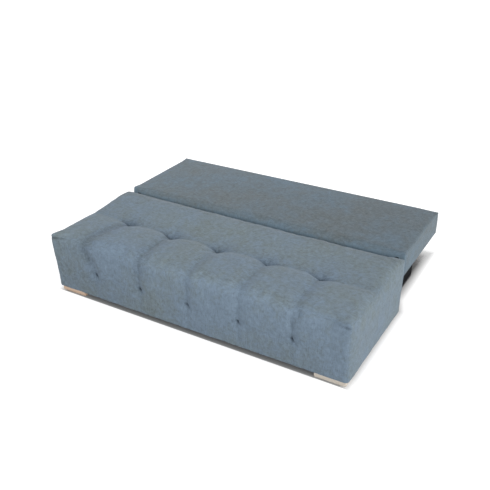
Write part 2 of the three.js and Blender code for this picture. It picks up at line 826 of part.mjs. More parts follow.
function backPlate(side) {
  const x = across(side, panelOuter - plateThickness, panelOuter);
  const [postY, postZ] = pawlPost();
  const armRear = pivotY + backArmLength;
  const arm = outline([
    [...atPivot(-backHeadRadius / 2, -backHeadRadius), flangeCorner],
    [...atPivot(backHeadRadius, -backArmBottomDrop), flangeCorner],
    [armRear, pivotHeight - backArmBottomDrop, flangeCorner],
    [armRear, pivotHeight - backArmTopDrop, flangeCorner],
    [...atPivot(backNeckRear, -backArmTopDrop), flangeCorner],
    [...atPivot(backNeckFront, 0), flangeCorner],
    [...atPivot(-backHeadRadius / 2, 0)],
  ]);
  const head = alongX(disc(pivotY, pivotHeight, backHeadRadius), x, 16);
  const postEnd = panelOuter + clearance + plateThickness + clearance + postHeadHeight;
  const postRun = [panelOuter - plateThickness / 2, postEnd];
  const post = roundBar(side, postRun, pawlPostRadius, ...atPivot(postY, postZ), 12);
  const reach = [panelOuter - plateThickness - cutOverrun, panelOuter + cutOverrun];
  const inset = (backArmBottomDrop - backArmTopDrop) / 3;
  const boltYs = [armRear - inset, armRear - backArmLength / 2];
  const boltZ = pivotHeight - (backArmTopDrop + backArmBottomDrop) / 2;
  const bolts = boltYs.map((y) => roundBar(side, reach, boltHoleRadius, y, boltZ, 8));
  const pinHole = roundBar(side, reach, pinHoleRadius, pivotY, pivotHeight);
  return cut(join(alongX(arm, x), head, post), ...bolts, pinHole);
}

function pawl(side) {
  const x = across(side, panelOuter + clearance, panelOuter + clearance + plateThickness);
  const [postY, postZ] = pawlPost();
  const angle = notchAngles[0];
  const rim = sectorRadius + pawlRimGap + pawlToothLength;
  const tooth = rimWedge(angle, rim, pawlToothLength, pawlToothRoot, pawlToothTip, pawlArmWidth);
  const along = [Math.cos(radians(angle)), Math.sin(radians(angle))];
  const point = (radius, offset) =>
    atPivot(radius * along[0] - offset * along[1], radius * along[1] + offset * along[0]);
  const arm = outline([
    point(rim, -pawlArm),
    point(rim + pawlArmWidth, -pawlArm),
    point(rim + pawlArmWidth, pawlToothRoot),
    point(rim, pawlToothRoot),
  ]);
  const hub = alongX(disc(...atPivot(postY, postZ), pawlHubRadius), x, 12);
  const reach = [panelOuter, panelOuter + plateThickness + cutOverrun];
  const hole = roundBar(side, reach, pawlHoleRadius, ...atPivot(postY, postZ), 12);
  return cut(join(hub, alongX(arm, x), alongX(tooth, x)), hole);
}

// A torsion spring round the pawl's post, with a leg that hangs down at each of its ends.
function pawlSpring(side) {
  const [postY, postZ] = pawlPost();
  const [y, z] = atPivot(postY, postZ);
  const start = panelOuter + 2 * clearance + plateThickness + coilWire / 2 + clearance;
  const stepsPerTurn = 10;
  const steps = coilTurns * stepsPerTurn;
  const points = [new THREE.Vector3(side * start, y + coilRadius, z - coilLegLength)];
  for (let i = 0; i <= steps; i++) {
    const angle = (2 * Math.PI * i) / stepsPerTurn;
    const x = side * (start + (coilPitch * i) / stepsPerTurn);
    const along = y + coilRadius * Math.cos(angle);
    points.push(new THREE.Vector3(x, along, z + coilRadius * Math.sin(angle)));
  }
  const last = points.at(-1);
  points.push(new THREE.Vector3(last.x, last.y, last.z - coilLegLength));
  return new THREE.ExtrudeGeometry(wireSection(coilWire / 2, 5), {
    steps: steps + 4,
    bevelEnabled: false,
    extrudePath: new THREE.CatmullRomCurve3(points),
  });
}

function ratchetHinges() {
  const headStart = panelOuter + clearance + plateThickness + clearance;
  const headEnd = headStart + pinHeadThickness;
  onBothSides((label, side) => {
    place("hinge_seat_plate_" + label, seatPlate(side), darkSteel);
    place("hinge_back_plate_" + label, backPlate(side), darkSteel);
    const pin = join(
      roundBar(side, [panelOuter - plateThickness, headStart], pinRadius, pivotY, pivotHeight),
      roundBar(side, [headStart, headEnd], pinHeadRadius, pivotY, pivotHeight, 20),
    );
    place("hinge_pin_" + label, pin, zincSteel);
    place("hinge_pawl_" + label, pawl(side), zincSteel);
    place("hinge_spring_" + label, pawlSpring(side), zincSteel);
  });
}

const backFrameBottom = backBottom + backFrameLift;
const backFrameTop = backFrameBottom + backFrameHeight;
const backFrameOuter = panelOuter - plateThickness - clearance;
const backFrameFront = backFront + backBorder + clearance;
const backFrameRear = backRear - backBorder - clearance;

function backPoint(point) {
  const ends = [[-sofaWidth / 2, sofaWidth / 2], [backFront, backRear], [backBottom, backTopHeight]];
  const low = point[2] < (backBottom + backTopHeight) / 2;
  const edge = low ? backLowerRadius : backEdgeRadius;
  const radii = [[backCornerRadius, backCornerRadius], [edge, edge], [backLowerRadius, backEdgeRadius]];
  const { moved, out } = roundOff(point, ends, radii);
  const along = Math.sin(Math.PI * limit((point[1] - backFront) / backLength));
  const acrossShare = 1 - Math.abs((2 * point[0]) / sofaWidth) ** 6;
  moved[2] += Math.max(out[2], 0) ** 2 * backSwell * along * acrossShare;
  return moved;
}

// The slab's upholstery: foam over the frame and borders down its four sides, with a pocket at
// each end that the hinge works in.
function backUpholstery() {
  const halfWidth = sofaWidth / 2;
  const middle = (backBottom + backTopHeight) / 2;
  const xs = slabWidthShares.map((widthShare) => widthShare * halfWidth);
  const ys = slabLengthShares.map((lengthShare) => backFront + lengthShare * backLength);
  const block = solid(
    gridSolid(
      gridLines(-halfWidth, halfWidth, backCornerRadius, backCornerRadius, xs),
      gridLines(backFront, backRear, backEdgeRadius, backEdgeRadius, ys),
      gridLines(backBottom, backTopHeight, backLowerRadius, backEdgeRadius, [middle]),
      backPoint,
    ),
  );
  const cavity = box(
    [-backFrameOuter - clearance, backFrameOuter + clearance],
    [backFront + backBorder, backRear - backBorder],
    [0, backFrameTop + clearance],
  );
  const pawlReach = sectorRadius + pawlRimGap + pawlToothLength + pawlArmWidth;
  const pockets = Object.values(sides).map((side) =>
    box(
      across(side, backFrameOuter - cutOverrun, panelOuter + pocketWidth),
      [0, pivotY + pawlReach + pocketMargin],
      [0, pivotHeight + sectorRadius + pocketMargin],
    ),
  );
  const plateSlots = Object.values(sides).map((side) =>
    box(
      across(side, backFrameOuter - cutOverrun, panelOuter + clearance),
      [pivotY - backHeadRadius - pocketMargin, pivotY + backArmLength + pocketMargin],
      [0, backFrameTop + clearance],
    ),
  );
  place("back_cushion", cut(block, cavity, ...pockets, ...plateSlots), fabric);
}

function backFrame() {
  const section = (low) =>
    rectangle([low, low + railWidth], [backFrameBottom, backFrameTop], railEdgeRadius);
  const crossEnd = backFrameOuter - railWidth - clearance;
  const crosswise = [-crossEnd, crossEnd];
  place("back_rail_front", alongX(section(backFrameFront), crosswise, 2), frameWood);
  place("back_rail_rear", alongX(section(backFrameRear - railWidth), crosswise, 2), frameWood);
  const short = [backFrameFront + railWidth + clearance, backFrameRear - railWidth - clearance];
  place("back_stretcher", alongY(section(-railWidth / 2), short, 2), frameWood);
  onBothSides((label, side) => {
    const low = across(side, backFrameOuter - railWidth, backFrameOuter)[0];
    place("back_rail_" + label, alongY(section(low), [backFrameFront, backFrameRear], 2), frameWood);
    const glideY = boxRear - glideFromRear;
    const glideTop = backFrameBottom - backPanelThickness - 2 * clearance;
    const glide = outline(
      [
        [glideY - glideLength / 2, boxHeight + clearance],
        [glideY + glideLength / 2, boxHeight + clearance],
        [glideY + glideLength / 2, glideTop, 0],
        [glideY - glideLength / 2, glideTop, 0],
      ],
      glideCorner,
    );
    const middle = (boxInner + boxOuter) / 2;
    const glideRun = across(side, middle - glideWidth / 2, middle + glideWidth / 2);
    place("back_glide_" + label, alongX(glide, glideRun), blackPlastic);
  });
  const panel = box(
    [-backFrameOuter, backFrameOuter],
    [backFrameFront, backFrameRear],
    [backFrameBottom - clearance - backPanelThickness, backFrameBottom - clearance],
  );
  place("back_panel", panel, hardboard);
}

beddingBox();
guides();
seatShell();
deckFrame();
deckSprings();
seatUpholstery();
feet();
castors();
ratchetHinges();
backFrame();
backUpholstery();

// The origin is the middle of the sofa's footprint, on the floor.
const extent = new THREE.Box3().setFromObject(sofa);
sofa.position.y = -(extent.min.y + extent.max.y) / 2;

export default sofa;
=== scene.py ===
import json
import math

import bmesh
import bpy
import numpy as np
from mathutils import Matrix, Vector
from mathutils.kdtree import KDTree


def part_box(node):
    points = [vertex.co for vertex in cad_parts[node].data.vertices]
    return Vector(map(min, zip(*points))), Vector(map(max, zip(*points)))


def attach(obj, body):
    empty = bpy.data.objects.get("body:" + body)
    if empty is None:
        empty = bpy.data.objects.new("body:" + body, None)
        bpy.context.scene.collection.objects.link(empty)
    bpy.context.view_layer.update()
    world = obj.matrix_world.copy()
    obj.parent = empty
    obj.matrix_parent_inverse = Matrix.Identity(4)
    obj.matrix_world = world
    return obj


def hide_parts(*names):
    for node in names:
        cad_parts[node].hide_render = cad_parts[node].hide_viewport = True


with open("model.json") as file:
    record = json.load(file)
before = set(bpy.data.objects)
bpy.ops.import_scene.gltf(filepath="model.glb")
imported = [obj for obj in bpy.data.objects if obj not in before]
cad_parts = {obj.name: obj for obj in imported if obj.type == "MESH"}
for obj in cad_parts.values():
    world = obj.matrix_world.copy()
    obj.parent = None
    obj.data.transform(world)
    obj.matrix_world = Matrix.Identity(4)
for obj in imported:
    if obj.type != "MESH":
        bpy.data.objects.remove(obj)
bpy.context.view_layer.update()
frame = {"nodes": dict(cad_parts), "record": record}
nodes = frame["nodes"]

MM = 0.001

# Seat block
HALF_WIDTH = 950 * MM
SEAT_FRONT = -694.291 * MM
SEAT_REAR = SEAT_FRONT + 757 * MM
SEAT_LOW = 28.3 * MM
SEAT_EDGE = 380 * MM
DECK_TOP = 322.3 * MM
DECK_BOTTOM = 244 * MM
PANEL_OUT = 900.3 * MM  # the outer face of the seat's side panels
PANEL_FRONT = 52.2 * MM  # from the seat's front to its front panel
CORNER_RADIUS = 21 * MM  # the upright corners at the front
REAR_CORNER = 10 * MM
HEM_RADIUS = 6 * MM  # where the cover turns under
ROLL_RADIUS = 60 * MM  # the roll from the top down the front
TOP_RADIUS = 26 * MM
REAR_RECESS = 6 * MM  # the rear face below its lip, which the slab's corner sweeps past

# Tufts
TUFT_XS = np.array([-642, -323, 0, 320, 637]) * MM
TUFT_SPACING = 321 * MM
TOP_ROW = 322 * MM  # from the seat's front
FRONT_ROW = 186 * MM  # above the floor
VEER = 85 * MM  # how far the first column's valley leans to the corner
VALLEY_SHADE = np.array([0.5, 0.3, 0.0, 0.0, 0.0])  # how much darker each column's valley is
TIE_RADIUS = 1.3 * MM  # the twine in each tuft
TIE_GAP = 2.8 * MM
TIE_REACH = 6 * MM
TIE_LIFT = 3 * MM
TIE_SIDES, TIE_STEPS = 8, 10
TIE_TILT = 40  # degrees, of the ties on the front

# Back slab
SLAB_FRONT = SEAT_REAR + 8 * MM
SLAB_REAR = SLAB_FRONT + 630 * MM
SLAB_LOW = 250 * MM
SLAB_TOP = 398 * MM
PIVOT_Y = SLAB_FRONT + 48 * MM
FRAME_OUT = 896 * MM  # the room that the slab's cover leaves for its frame
FRAME_TOP = 332.3 * MM
FRAME_BORDER = 14 * MM

# Hinges: the room that the covers leave for the plates
PLATE_IN = 889.7 * MM
PLATE_OUT = 913 * MM
SEAT_PLATE_FRONT = SEAT_FRONT + 557 * MM
SEAT_PLATE_LOW = 255 * MM
MOUTH_TOP = 366.5 * MM  # clears the seat's plate where it leaves the upright slab's front
MOUTH_DEPTH = 20 * MM
POCKET_START = 10 * MM  # behind the slab's front. The seat's plate stands higher from here on.
POCKET_TOP = 384 * MM
POCKET_BEHIND = 45.5 * MM  # behind the pivot
BACK_PLATE_FRONT = 25 * MM  # in front of the pivot
BACK_PLATE_REAR = 181 * MM  # behind the pivot
OVERRUN = 0.1  # how far a cut goes past the face that it opens


# Shaders

class Wire:
    """A node's output. Sums and products of wires and numbers add Math nodes."""

    def __init__(self, finish, socket):
        self.finish = finish
        self.socket = socket

    def math(self, operation, *values, clamp=False):
        settings = {"operation": operation, "use_clamp": clamp}
        return self.finish.node("Math", settings, dict(enumerate(values)))

    def __add__(self, other):
        return self.math("ADD", self, other)

    def __sub__(self, other):
        return self.math("SUBTRACT", self, other)

    def __rsub__(self, other):
        return self.math("SUBTRACT", other, self)

    def __mul__(self, other):
        return self.math("MULTIPLY", self, other)

    def __truediv__(self, other):
        return self.math("DIVIDE", self, other)

    __radd__ = __add__
    __rmul__ = __mul__

    def between(self, low, high):
        """0 at low, 1 at high, clamped."""
        return ((self - low) / (high - low)).math_clamped()

    def math_clamped(self):
        return self.math("ADD", self, 0.0, clamp=True)


class Finish:
    """A procedural material, made node by node."""

    def __init__(self, name):
        self.material = bpy.data.materials.new(name)
        self.material.use_nodes = True
        self.tree = self.material.node_tree
        self.tree.nodes.clear()

    def node(self, kind, settings=(), sockets=(), output=0):
        made = self.tree.nodes.new("ShaderNode" + kind)
        for key, value in dict(settings).items():
            setattr(made, key, value)
        for key, value in dict(sockets).items():
            socket = made.inputs[key]
            if isinstance(value, Wire):
                self.tree.links.new(value.socket, socket)
            else:
                socket.default_value = value
        return Wire(self, made.outputs[output]) if made.outputs else None

    def place(self, scale=(1, 1, 1)):
        """The object's own coordinates, stretched."""
        coords = self.node("TexCoord", output="Object")
        return self.node("Mapping", {}, {"Vector": coords, "Scale": scale})

    def noise(self, vector, scale, detail=3.0, roughness=0.5, distortion=0.0):
        return self.node(
            "TexNoise", {}, {"Vector": vector, "Scale": scale, "Detail": detail, "Roughness": roughness,
                             "Distortion": distortion}
        )

    def noise_colour(self, vector, scale, reach):
        """A small random shift for each place, to bend another pattern's outlines."""
        noise = self.node("TexNoise", {}, {"Vector": vector, "Scale": scale}, output="Color")
        middle = self.node("VectorMath", {"operation": "SUBTRACT"}, {0: noise, 1: (0.5, 0.5, 0.5)})
        return self.node("VectorMath", {"operation": "SCALE"}, {0: middle, "Scale": reach})

    def tint(self, share, first, second):
        """A colour between two."""
        mixed = {"data_type": "RGBA", "blend_type": "MIX", "clamp_factor": True}
        values = {0: share, 6: rgba(first), 7: rgba(second)}
        return self.node("Mix", mixed, values, output=2)

    def shade(self, colour, share):
        """A colour made darker or lighter by a factor."""
        return self.node("VectorMath", {"operation": "SCALE"}, {0: colour, "Scale": share})

    def bump(self, height, distance, strength=1.0):
        return self.node("Bump", {}, {"Height": height, "Distance": distance, "Strength": strength})

    def surface(self, **values):
        names = {key.replace("_", " "): value for key, value in values.items()}
        shader = self.node("BsdfPrincipled", {}, names)
        self.node("OutputMaterial", {}, {"Surface": shader})
        return self.material


def rgba(colour):
    return colour if isinstance(colour, Wire) else (*colour, 1)


def linear(red, green, blue):
    """A colour given as it shows on a screen, 0 to 255."""
    shares = (c / 255 for c in (red, green, blue))
    return tuple(s / 12.92 if s < 11 / 255 else ((s + 0.055) / 1.055) ** 2.4 for s in shares)


# Shapes

SEAT_DEPTH = SEAT_REAR - SEAT_FRONT


def even_lines(low, high, step):
    return list(np.linspace(low, high, round((high - low) / step) + 1))


def with_close_lines(lines, middles, offsets):
    """Adds lines near each of some places, and drops the even ones that they crowd."""
    low, high = lines[0], lines[-1]
    close = [m + o for m in middles for o in offsets if low < m + o < high]
    reach = max(abs(o) for o in offsets)
    kept = [v for v in lines if v in (low, high) or all(abs(v - m) > reach for m in middles)]
    return np.array(sorted(set(kept + close)))


def lattice(lines, plain):
    """A closed box cut into quads along the lines of each axis. Faces that plain picks are joined."""
    bm = bmesh.new()
    bmesh.ops.create_cube(bm, size=1)
    for axis, places in enumerate(lines):
        along = [e for e in bm.edges if abs((e.verts[1].co - e.verts[0].co)[axis]) > 0.5]
        bmesh.ops.subdivide_edges(bm, edges=along, cuts=len(places) - 2, use_grid_fill=True)
    for vert in bm.verts:
        for axis, places in enumerate(lines):
            vert.co[axis] = places[round((vert.co[axis] + 0.5) * (len(places) - 1))]
    bm.normal_update()
    for pick in plain:
        bmesh.ops.dissolve_faces(bm, faces=[f for f in bm.faces if pick(f)])
    return bm


def add_piece(name, bm):
    mesh = bpy.data.meshes.new(name)
    bm.to_mesh(mesh)
    bm.free()
    made = bpy.data.objects.new(name, mesh)
    bpy.context.scene.collection.objects.link(made)
    return made


def points_of(mesh):
    flat = np.empty(3 * len(mesh.vertices))
    mesh.vertices.foreach_get("co", flat)
    return flat.reshape(-1, 3)


def move_points(mesh, points):
    mesh.vertices.foreach_set("co", points.astype(np.float32).ravel())
    mesh.update()


def lay_cloth(mesh):
    """A UV map in metres: over the top and down the front in one run, and each side on its own."""
    points = points_of(mesh)
    normals = np.empty(3 * len(mesh.polygons))
    mesh.polygons.foreach_get("normal", normals)
    totals = np.empty(len(mesh.polygons), int)
    mesh.polygons.foreach_get("loop_total", totals)
    normal = np.repeat(normals.reshape(-1, 3), totals, axis=0)
    corner = np.empty(len(mesh.loops), int)
    mesh.loops.foreach_get("vertex_index", corner)
    x, y, z = points[corner].T
    front_y, top_z = points[:, 1].min(), points[:, 2].max()
    sideways = np.abs(normal[:, 0]) > 0.5
    upright = np.abs(normal[:, 1]) > 0.5
    u = np.where(sideways, y + 2.5, x)
    v = np.where(sideways | upright, z - top_z, y - front_y)
    uv = mesh.uv_layers.new(name="cloth")
    uv.data.foreach_set("uv", np.stack([u, v], axis=1).astype(np.float32).ravel())


def ease(value):
    value = np.clip(value, 0, 1)
    return value * value * (3 - 2 * value)


def bell(distance, spread):
    return np.exp(-((distance / spread) ** 2))


def ripples(u, v, waves):
    """Slow unevenness: waves of (height, wavelength, direction in degrees, phase)."""
    total = 0
    for height, length, heading, phase in waves:
        angle = math.radians(heading)
        run = u * math.cos(angle) + v * math.sin(angle)
        total = total + height * np.sin(2 * math.pi * run / length + phase)
    return total


def round_off(points, low, high, radii):
    """Bends a box's points onto the box with rounded edges, and gives the outward directions."""
    core = np.empty_like(points)
    lean = np.empty_like(points)
    radius = np.empty_like(points)
    for k in range(3):
        near, far = radii[k]
        core[:, k] = np.clip(points[:, k], low[k] + near, high[k] - far)
        radius[:, k] = np.where(points[:, k] < core[:, k], near, far)
        lean[:, k] = (points[:, k] - core[:, k]) / np.maximum(radius[:, k], 1e-9)
    out = lean / np.maximum(np.linalg.norm(lean, axis=1), 1e-9)[:, None]
    return core + out * radius, out


def crease(u, v, heading, length, depth, width):
    """How deep a fold is that leaves a stitch at a heading in degrees."""
    angle = math.radians(heading)
    run = u * math.cos(angle) + v * math.sin(angle)
    across = v * math.cos(angle) - u * math.sin(angle)
    fade = np.clip(1 - run / length, 0, 1) ** 1.4 * ease(1 + run / width)
    spread = width * (1 + 1.6 * np.clip(run / length, 0, 1))
    return depth * fade * (bell(across, spread) - 0.35 * bell(across - 2.2 * spread, spread))


def to_nearest_tuft(x):
    offsets = x[:, None] - TUFT_XS[None, :]
    nearest = np.argmin(np.abs(offsets), axis=1)
    return offsets[np.arange(len(x)), nearest], nearest


# Each stitch on top pulls the cloth a little differently: headings, lengths and depths of its folds.
TOP_FOLDS = [
    [(163, 100, 8.0), (30, 55, 6.0), (94, 80, 2.5), (-112, 70, 2.0), (-64, 50, 1.6)],
    [(161, 110, 9.0), (26, 62, 6.0), (84, 70, 2.8), (-100, 80, 2.2), (-48, 45, 1.5)],
    [(165, 96, 8.0), (32, 58, 6.5), (98, 75, 2.5), (-118, 60, 1.8), (-70, 66, 2.2)],
    [(160, 108, 9.0), (24, 66, 6.0), (88, 85, 2.6), (-104, 72, 2.0), (-58, 52, 1.8)],
    [(163, 104, 9.0), (20, 70, 5.5), (80, 90, 2.8), (-96, 78, 2.6), (-130, 50, 1.6)],
]
FRONT_FOLDS = [
    [(-42, 36, 6.5), (138, 32, 5.5), (88, 70, 2.0), (-95, 60, 1.4)],
    [(-38, 32, 6.5), (142, 36, 5.5), (94, 60, 1.6), (-86, 70, 1.6)],
    [(-40, 38, 6.5), (140, 32, 5.5), (86, 66, 1.6), (-92, 64, 1.4)],
    [(-44, 34, 6.5), (136, 38, 5.5), (92, 74, 2.0), (-88, 76, 1.8)],
    [(-40, 42, 7.0), (140, 36, 5.5), (92, 160, 3.4), (-90, 70, 1.8)],
]


def folds_of(table, nearest, u, v, width):
    total = np.zeros_like(u)
    for column, folds in enumerate(table):
        here = nearest == column
        for heading, length, depth in folds:
            total[here] += crease(u[here], v[here], heading, length * MM, depth * MM, width)
    return total


def top_lift(x, y):
    """How far the cover stands above the seat's front edge, how far it is drawn in for the painted shade
    in its dips, and the painted shade of its folds, tufts and valleys.
    """
    middle = 1 - np.abs(x / HALF_WIDTH) ** 4
    rear_share = np.clip((y - TOP_ROW) / (SEAT_DEPTH - TOP_ROW), 0, 1)
    rear = (16 + 9 * middle) * MM * np.sin(math.pi * rear_share**1.8)
    front = (3 + 11 * middle) * MM * np.sin(math.pi * np.clip(y / TOP_ROW, 0, 1) ** 1.25) ** 0.55
    beside, nearest = to_nearest_tuft(x)
    inside = np.abs(x) < TUFT_XS[-1]
    bow = np.where(
        inside,
        23 * MM * np.abs(np.sin(math.pi * x / TUFT_SPACING)) ** 1.4,
        18 * MM * ease((np.abs(x) - TUFT_XS[-1]) / (180 * MM)),
    )
    row_at = TOP_ROW + 12 * MM * ease((-x - 480 * MM) / (130 * MM))
    behind = y - row_at - bow
    near = bell(beside, 75 * MM)
    past_end = ease((np.abs(x) - TUFT_XS[-1]) / (110 * MM))
    spread = np.where(behind < 0, (12 - 2 * near + 16 * past_end) * MM, (44 + 12 * near) * MM)
    row = (4.8 - 1.3 * past_end + 6.2 * near) * MM * np.exp(-((np.abs(behind) / spread) ** 1.3))
    depth = y - row_at
    in_front = 1 - ease(depth / (46 * MM))
    in_valley = beside + VEER * (nearest == 0) * (1 - np.clip(y / TOP_ROW, 0, 1)) ** 0.8
    narrow = 1.6 * (nearest > 0) * bell(in_valley, 9 * MM)
    valley = (8.5 * bell(in_valley, np.where(nearest > 0, 40, 52) * MM) + narrow) * MM * in_front
    pull = 11 * MM * np.exp(-((np.hypot(beside, depth) / (34 * MM)) ** 1.1))
    folds = folds_of(TOP_FOLDS, nearest, beside, depth, 5 * MM)
    sunk = row + valley + pull + folds
    drawn = 1.9 * row * (behind > -6 * MM) + 0.8 * valley + 0.6 * pull
    # Painted shade: darker in the folds, around each tuft, and down the valleys as VALLEY_SHADE gives.
    painted_darkening = folds / (9 * MM) + bell(np.hypot(beside, depth), 13 * MM)
    painted_darkening = painted_darkening + VALLEY_SHADE[nearest] * bell(in_valley, 52 * MM) * in_front
    uneven = ripples(x, y, [(0.9, 0.31, 20, 0.4), (0.7, 0.19, 105, 2.0), (0.5, 0.13, 60, 4.1),
                            (0.45, 0.093, 150, 1.2), (0.35, 0.071, 10, 5.0)]) * MM
    return rear + front + uneven * middle - sunk, drawn, painted_darkening


def front_swell(x, z):
    """How far the front stands proud of its edges, how far it is sunk in for the painted shade in its
    dips, and the painted shade of its folds, tufts, valleys, tuck and pucker.
    """
    share = np.clip((z - SEAT_LOW) / (SEAT_EDGE - SEAT_LOW), 0, 1)
    middle = 1 - np.abs(x / HALF_WIDTH) ** 6
    beside, nearest = to_nearest_tuft(x)
    above = z - FRONT_ROW
    rising = ease(1 + above / (46 * MM))
    in_valley = beside + VEER * (nearest == 0) * ease(above / (SEAT_EDGE - FRONT_ROW))
    narrow = 1.2 * (nearest > 0) * bell(in_valley, 9 * MM)
    valley = (5.0 * bell(in_valley, 40 * MM) + narrow) * MM * rising
    low_valley = 1.4 * MM * bell(beside, 22 * MM)
    row = 1.6 * MM * bell(above, 34 * MM)
    pull = 8 * MM * np.exp(-((np.hypot(beside, above) / (24 * MM)) ** 1.1))
    folds = folds_of(FRONT_FOLDS, nearest, beside, above, 5 * MM)
    pucker = 6 * MM * bell(np.hypot(x - 668 * MM, z - 352 * MM), 17 * MM)
    sunk = valley + low_valley + row + pull + folds + pucker
    from_end = HALF_WIDTH - np.abs(x)
    tuck_height = SEAT_EDGE - 22 * MM + 0.05 * from_end
    tuck = 9 * MM * np.exp(-from_end / (100 * MM)) * bell(z - tuck_height, 8 * MM)
    # Painted shade: darker in the folds, around each tuft, in the tuck near each end, in the pucker, and
    # down the valleys.
    painted_darkening = folds / (8 * MM) + bell(np.hypot(beside, above), 9 * MM) + tuck / (8 * MM) + pucker / (14 * MM)
    painted_darkening = painted_darkening + VALLEY_SHADE[nearest] * bell(in_valley, 48 * MM) * ease(above / (120 * MM))
    uneven = ripples(x, z, [(0.7, 0.27, 80, 1.0), (0.6, 0.17, 10, 3.0), (0.4, 0.11, 40, 0.2),
                            (0.4, 0.083, 95, 2.2)]) * MM
    swell = 6 * MM * np.sin(math.pi * share) * middle
    return swell + uneven * middle - sunk - tuck, sunk + tuck, painted_darkening


def seam_groove(distance):
    """A sewn edge: the two panels roll into a narrow groove."""
    return 0.5 * MM * bell(distance - 4.5 * MM, 3 * MM) - 0.9 * MM * bell(distance, 1.6 * MM)


def seat_form(points):
    """The seat block's cover, from points on its plain box. Y runs from the seat's front."""
    x, y, z = points.T
    low = (-HALF_WIDTH, 0, SEAT_LOW)
    high = (HALF_WIDTH, SEAT_DEPTH, SEAT_EDGE)
    rise = ease((z - SEAT_EDGE + 130 * MM) / (130 * MM))
    roll = (ROLL_RADIUS - CORNER_RADIUS) * ease((HALF_WIDTH - np.abs(x)) / (130 * MM))
    corner = CORNER_RADIUS - 5 * MM * rise
    side_corner = corner + (REAR_CORNER - corner) * ease((y - SEAT_DEPTH / 2) / (SEAT_DEPTH / 4))
    from_ends = ease(np.minimum(y, SEAT_DEPTH - y) / (90 * MM))
    side_corner = side_corner + 7 * MM * from_ends * ease((z - SEAT_EDGE + 60 * MM) / (50 * MM))
    front = corner + roll * rise
    forwards = 1 - ease(y / (120 * MM))
    backwards = ease((y - SEAT_DEPTH + 90 * MM) / (80 * MM))
    inwards = ease((HALF_WIDTH - np.abs(x)) / (60 * MM))
    top = TOP_RADIUS + roll * forwards * 0.7 - 11 * MM * backwards - 7 * MM * forwards * (1 - inwards)
    moved, out = round_off(
        points, low, high, ((side_corner, side_corner), (front, REAR_CORNER), (HEM_RADIUS, top))
    )
    upward = np.maximum(out[:, 2], 0) ** 2
    forward = np.maximum(-out[:, 1], 0) ** 2
    outward = out[:, 0] ** 2 * np.sign(out[:, 0])
    lift, sunk_top, painted_darkening_top = top_lift(x, moved[:, 1])
    swell, sunk_front, painted_darkening_front = front_swell(x, moved[:, 2])
    height_share = np.clip((z - SEAT_LOW) / (SEAT_EDGE - SEAT_LOW), 0, 1)
    depth_share = np.clip(y / SEAT_DEPTH, 0, 1)
    side = 6 * MM * (1 - np.abs(2 * height_share - 1) ** 3) * (1 - np.abs(2 * depth_share - 1) ** 8)
    side = side + MM * ripples(y, z, [(0.6, 0.23, 70, 0.5), (0.5, 0.14, 20, 2.4), (0.4, 0.09, 100, 4.0)])
    from_side = HALF_WIDTH - np.abs(x)
    from_top = SEAT_EDGE - z
    upright_seam = np.where(y < 40 * MM, seam_groove(np.minimum(from_side + y, 1)), 0)
    top_seam = np.where(from_top < 40 * MM, seam_groove(np.minimum(from_side + from_top, 1)), 0)
    on_seam = np.where(np.abs(out[:, 0]) > 0.05, upright_seam + top_seam, 0)
    backward = np.maximum(out[:, 1], 0) ** 2
    # The lip closes the joint to the slab before the rear edge sags.
    lip = (6 - 2.5 * (1 - inwards)) * MM * ease((moved[:, 2] - 361 * MM) / (8 * MM))
    at_front = 1 - ease(y / (90 * MM))
    at_end = ease(1 - from_side / (110 * MM))
    flare = ease((z - SEAT_LOW) / (300 * MM))
    lean = np.where(x < 0, 11 * flare, -2 - 3 * flare)  # the left front corner leans out a little
    moved[:, 0] += outward * side + np.sign(x) * at_end * (2 + 3 * flare + lean * at_front) * MM
    moved[:, 1] -= forward * swell + backward * (REAR_RECESS - lip) + flare * at_end * at_front * 6 * MM
    along = x / HALF_WIDTH
    sag_start = 0.86 + 0.05 * along**4
    right_end = ease((x - 840 * MM) / (55 * MM))  # less there, to hide the slab's hinge pocket
    sag_depth = (17 + 3 * along + 7 * (1 - along**2) - 8 * right_end) * MM
    sag = sag_depth * ease((y / SEAT_DEPTH - sag_start) / (1 - sag_start))
    moved[:, 2] += upward * lift - sag * ease((z - SEAT_EDGE + 90 * MM) / (70 * MM))
    moved += out * on_seam[:, None]
    moved[:, 1] += SEAT_FRONT
    up_front = ease((z - SEAT_LOW) / (300 * MM)) - 0.5
    # The marks the cloth reads. Painted shade, darker and bluer, in the dips; painted shade in the folds,
    # tufts and valleys; painted light and shade: a highlight along the roll, the upper front lighter and
    # the lower front darker, the front lighter in the middle and toward the right, and the top darker
    # behind the row toward the ends and over its rear. Forward faces are bluer.
    return moved, {
        "painted_dip_shade": np.clip((upward * sunk_top + forward * sunk_front) / (26 * MM), 0, 1),
        "painted_darkening": np.clip(upward * painted_darkening_top + forward * painted_darkening_front, 0, 1),
        "painted_light_and_shade": np.clip(0.6 * upward * forward, 0, 0.14) + 0.6 * up_front * forward
        + 0.25 * forward * bell(x, 450 * MM)
        + 0.4 * along * forward - 0.3 * upward * ease((y - TOP_ROW) / (60 * MM)) * along**2
        - 0.75 * upward * ease((y - SEAT_DEPTH + 170 * MM) / (90 * MM)),
        "facing": forward,
    }


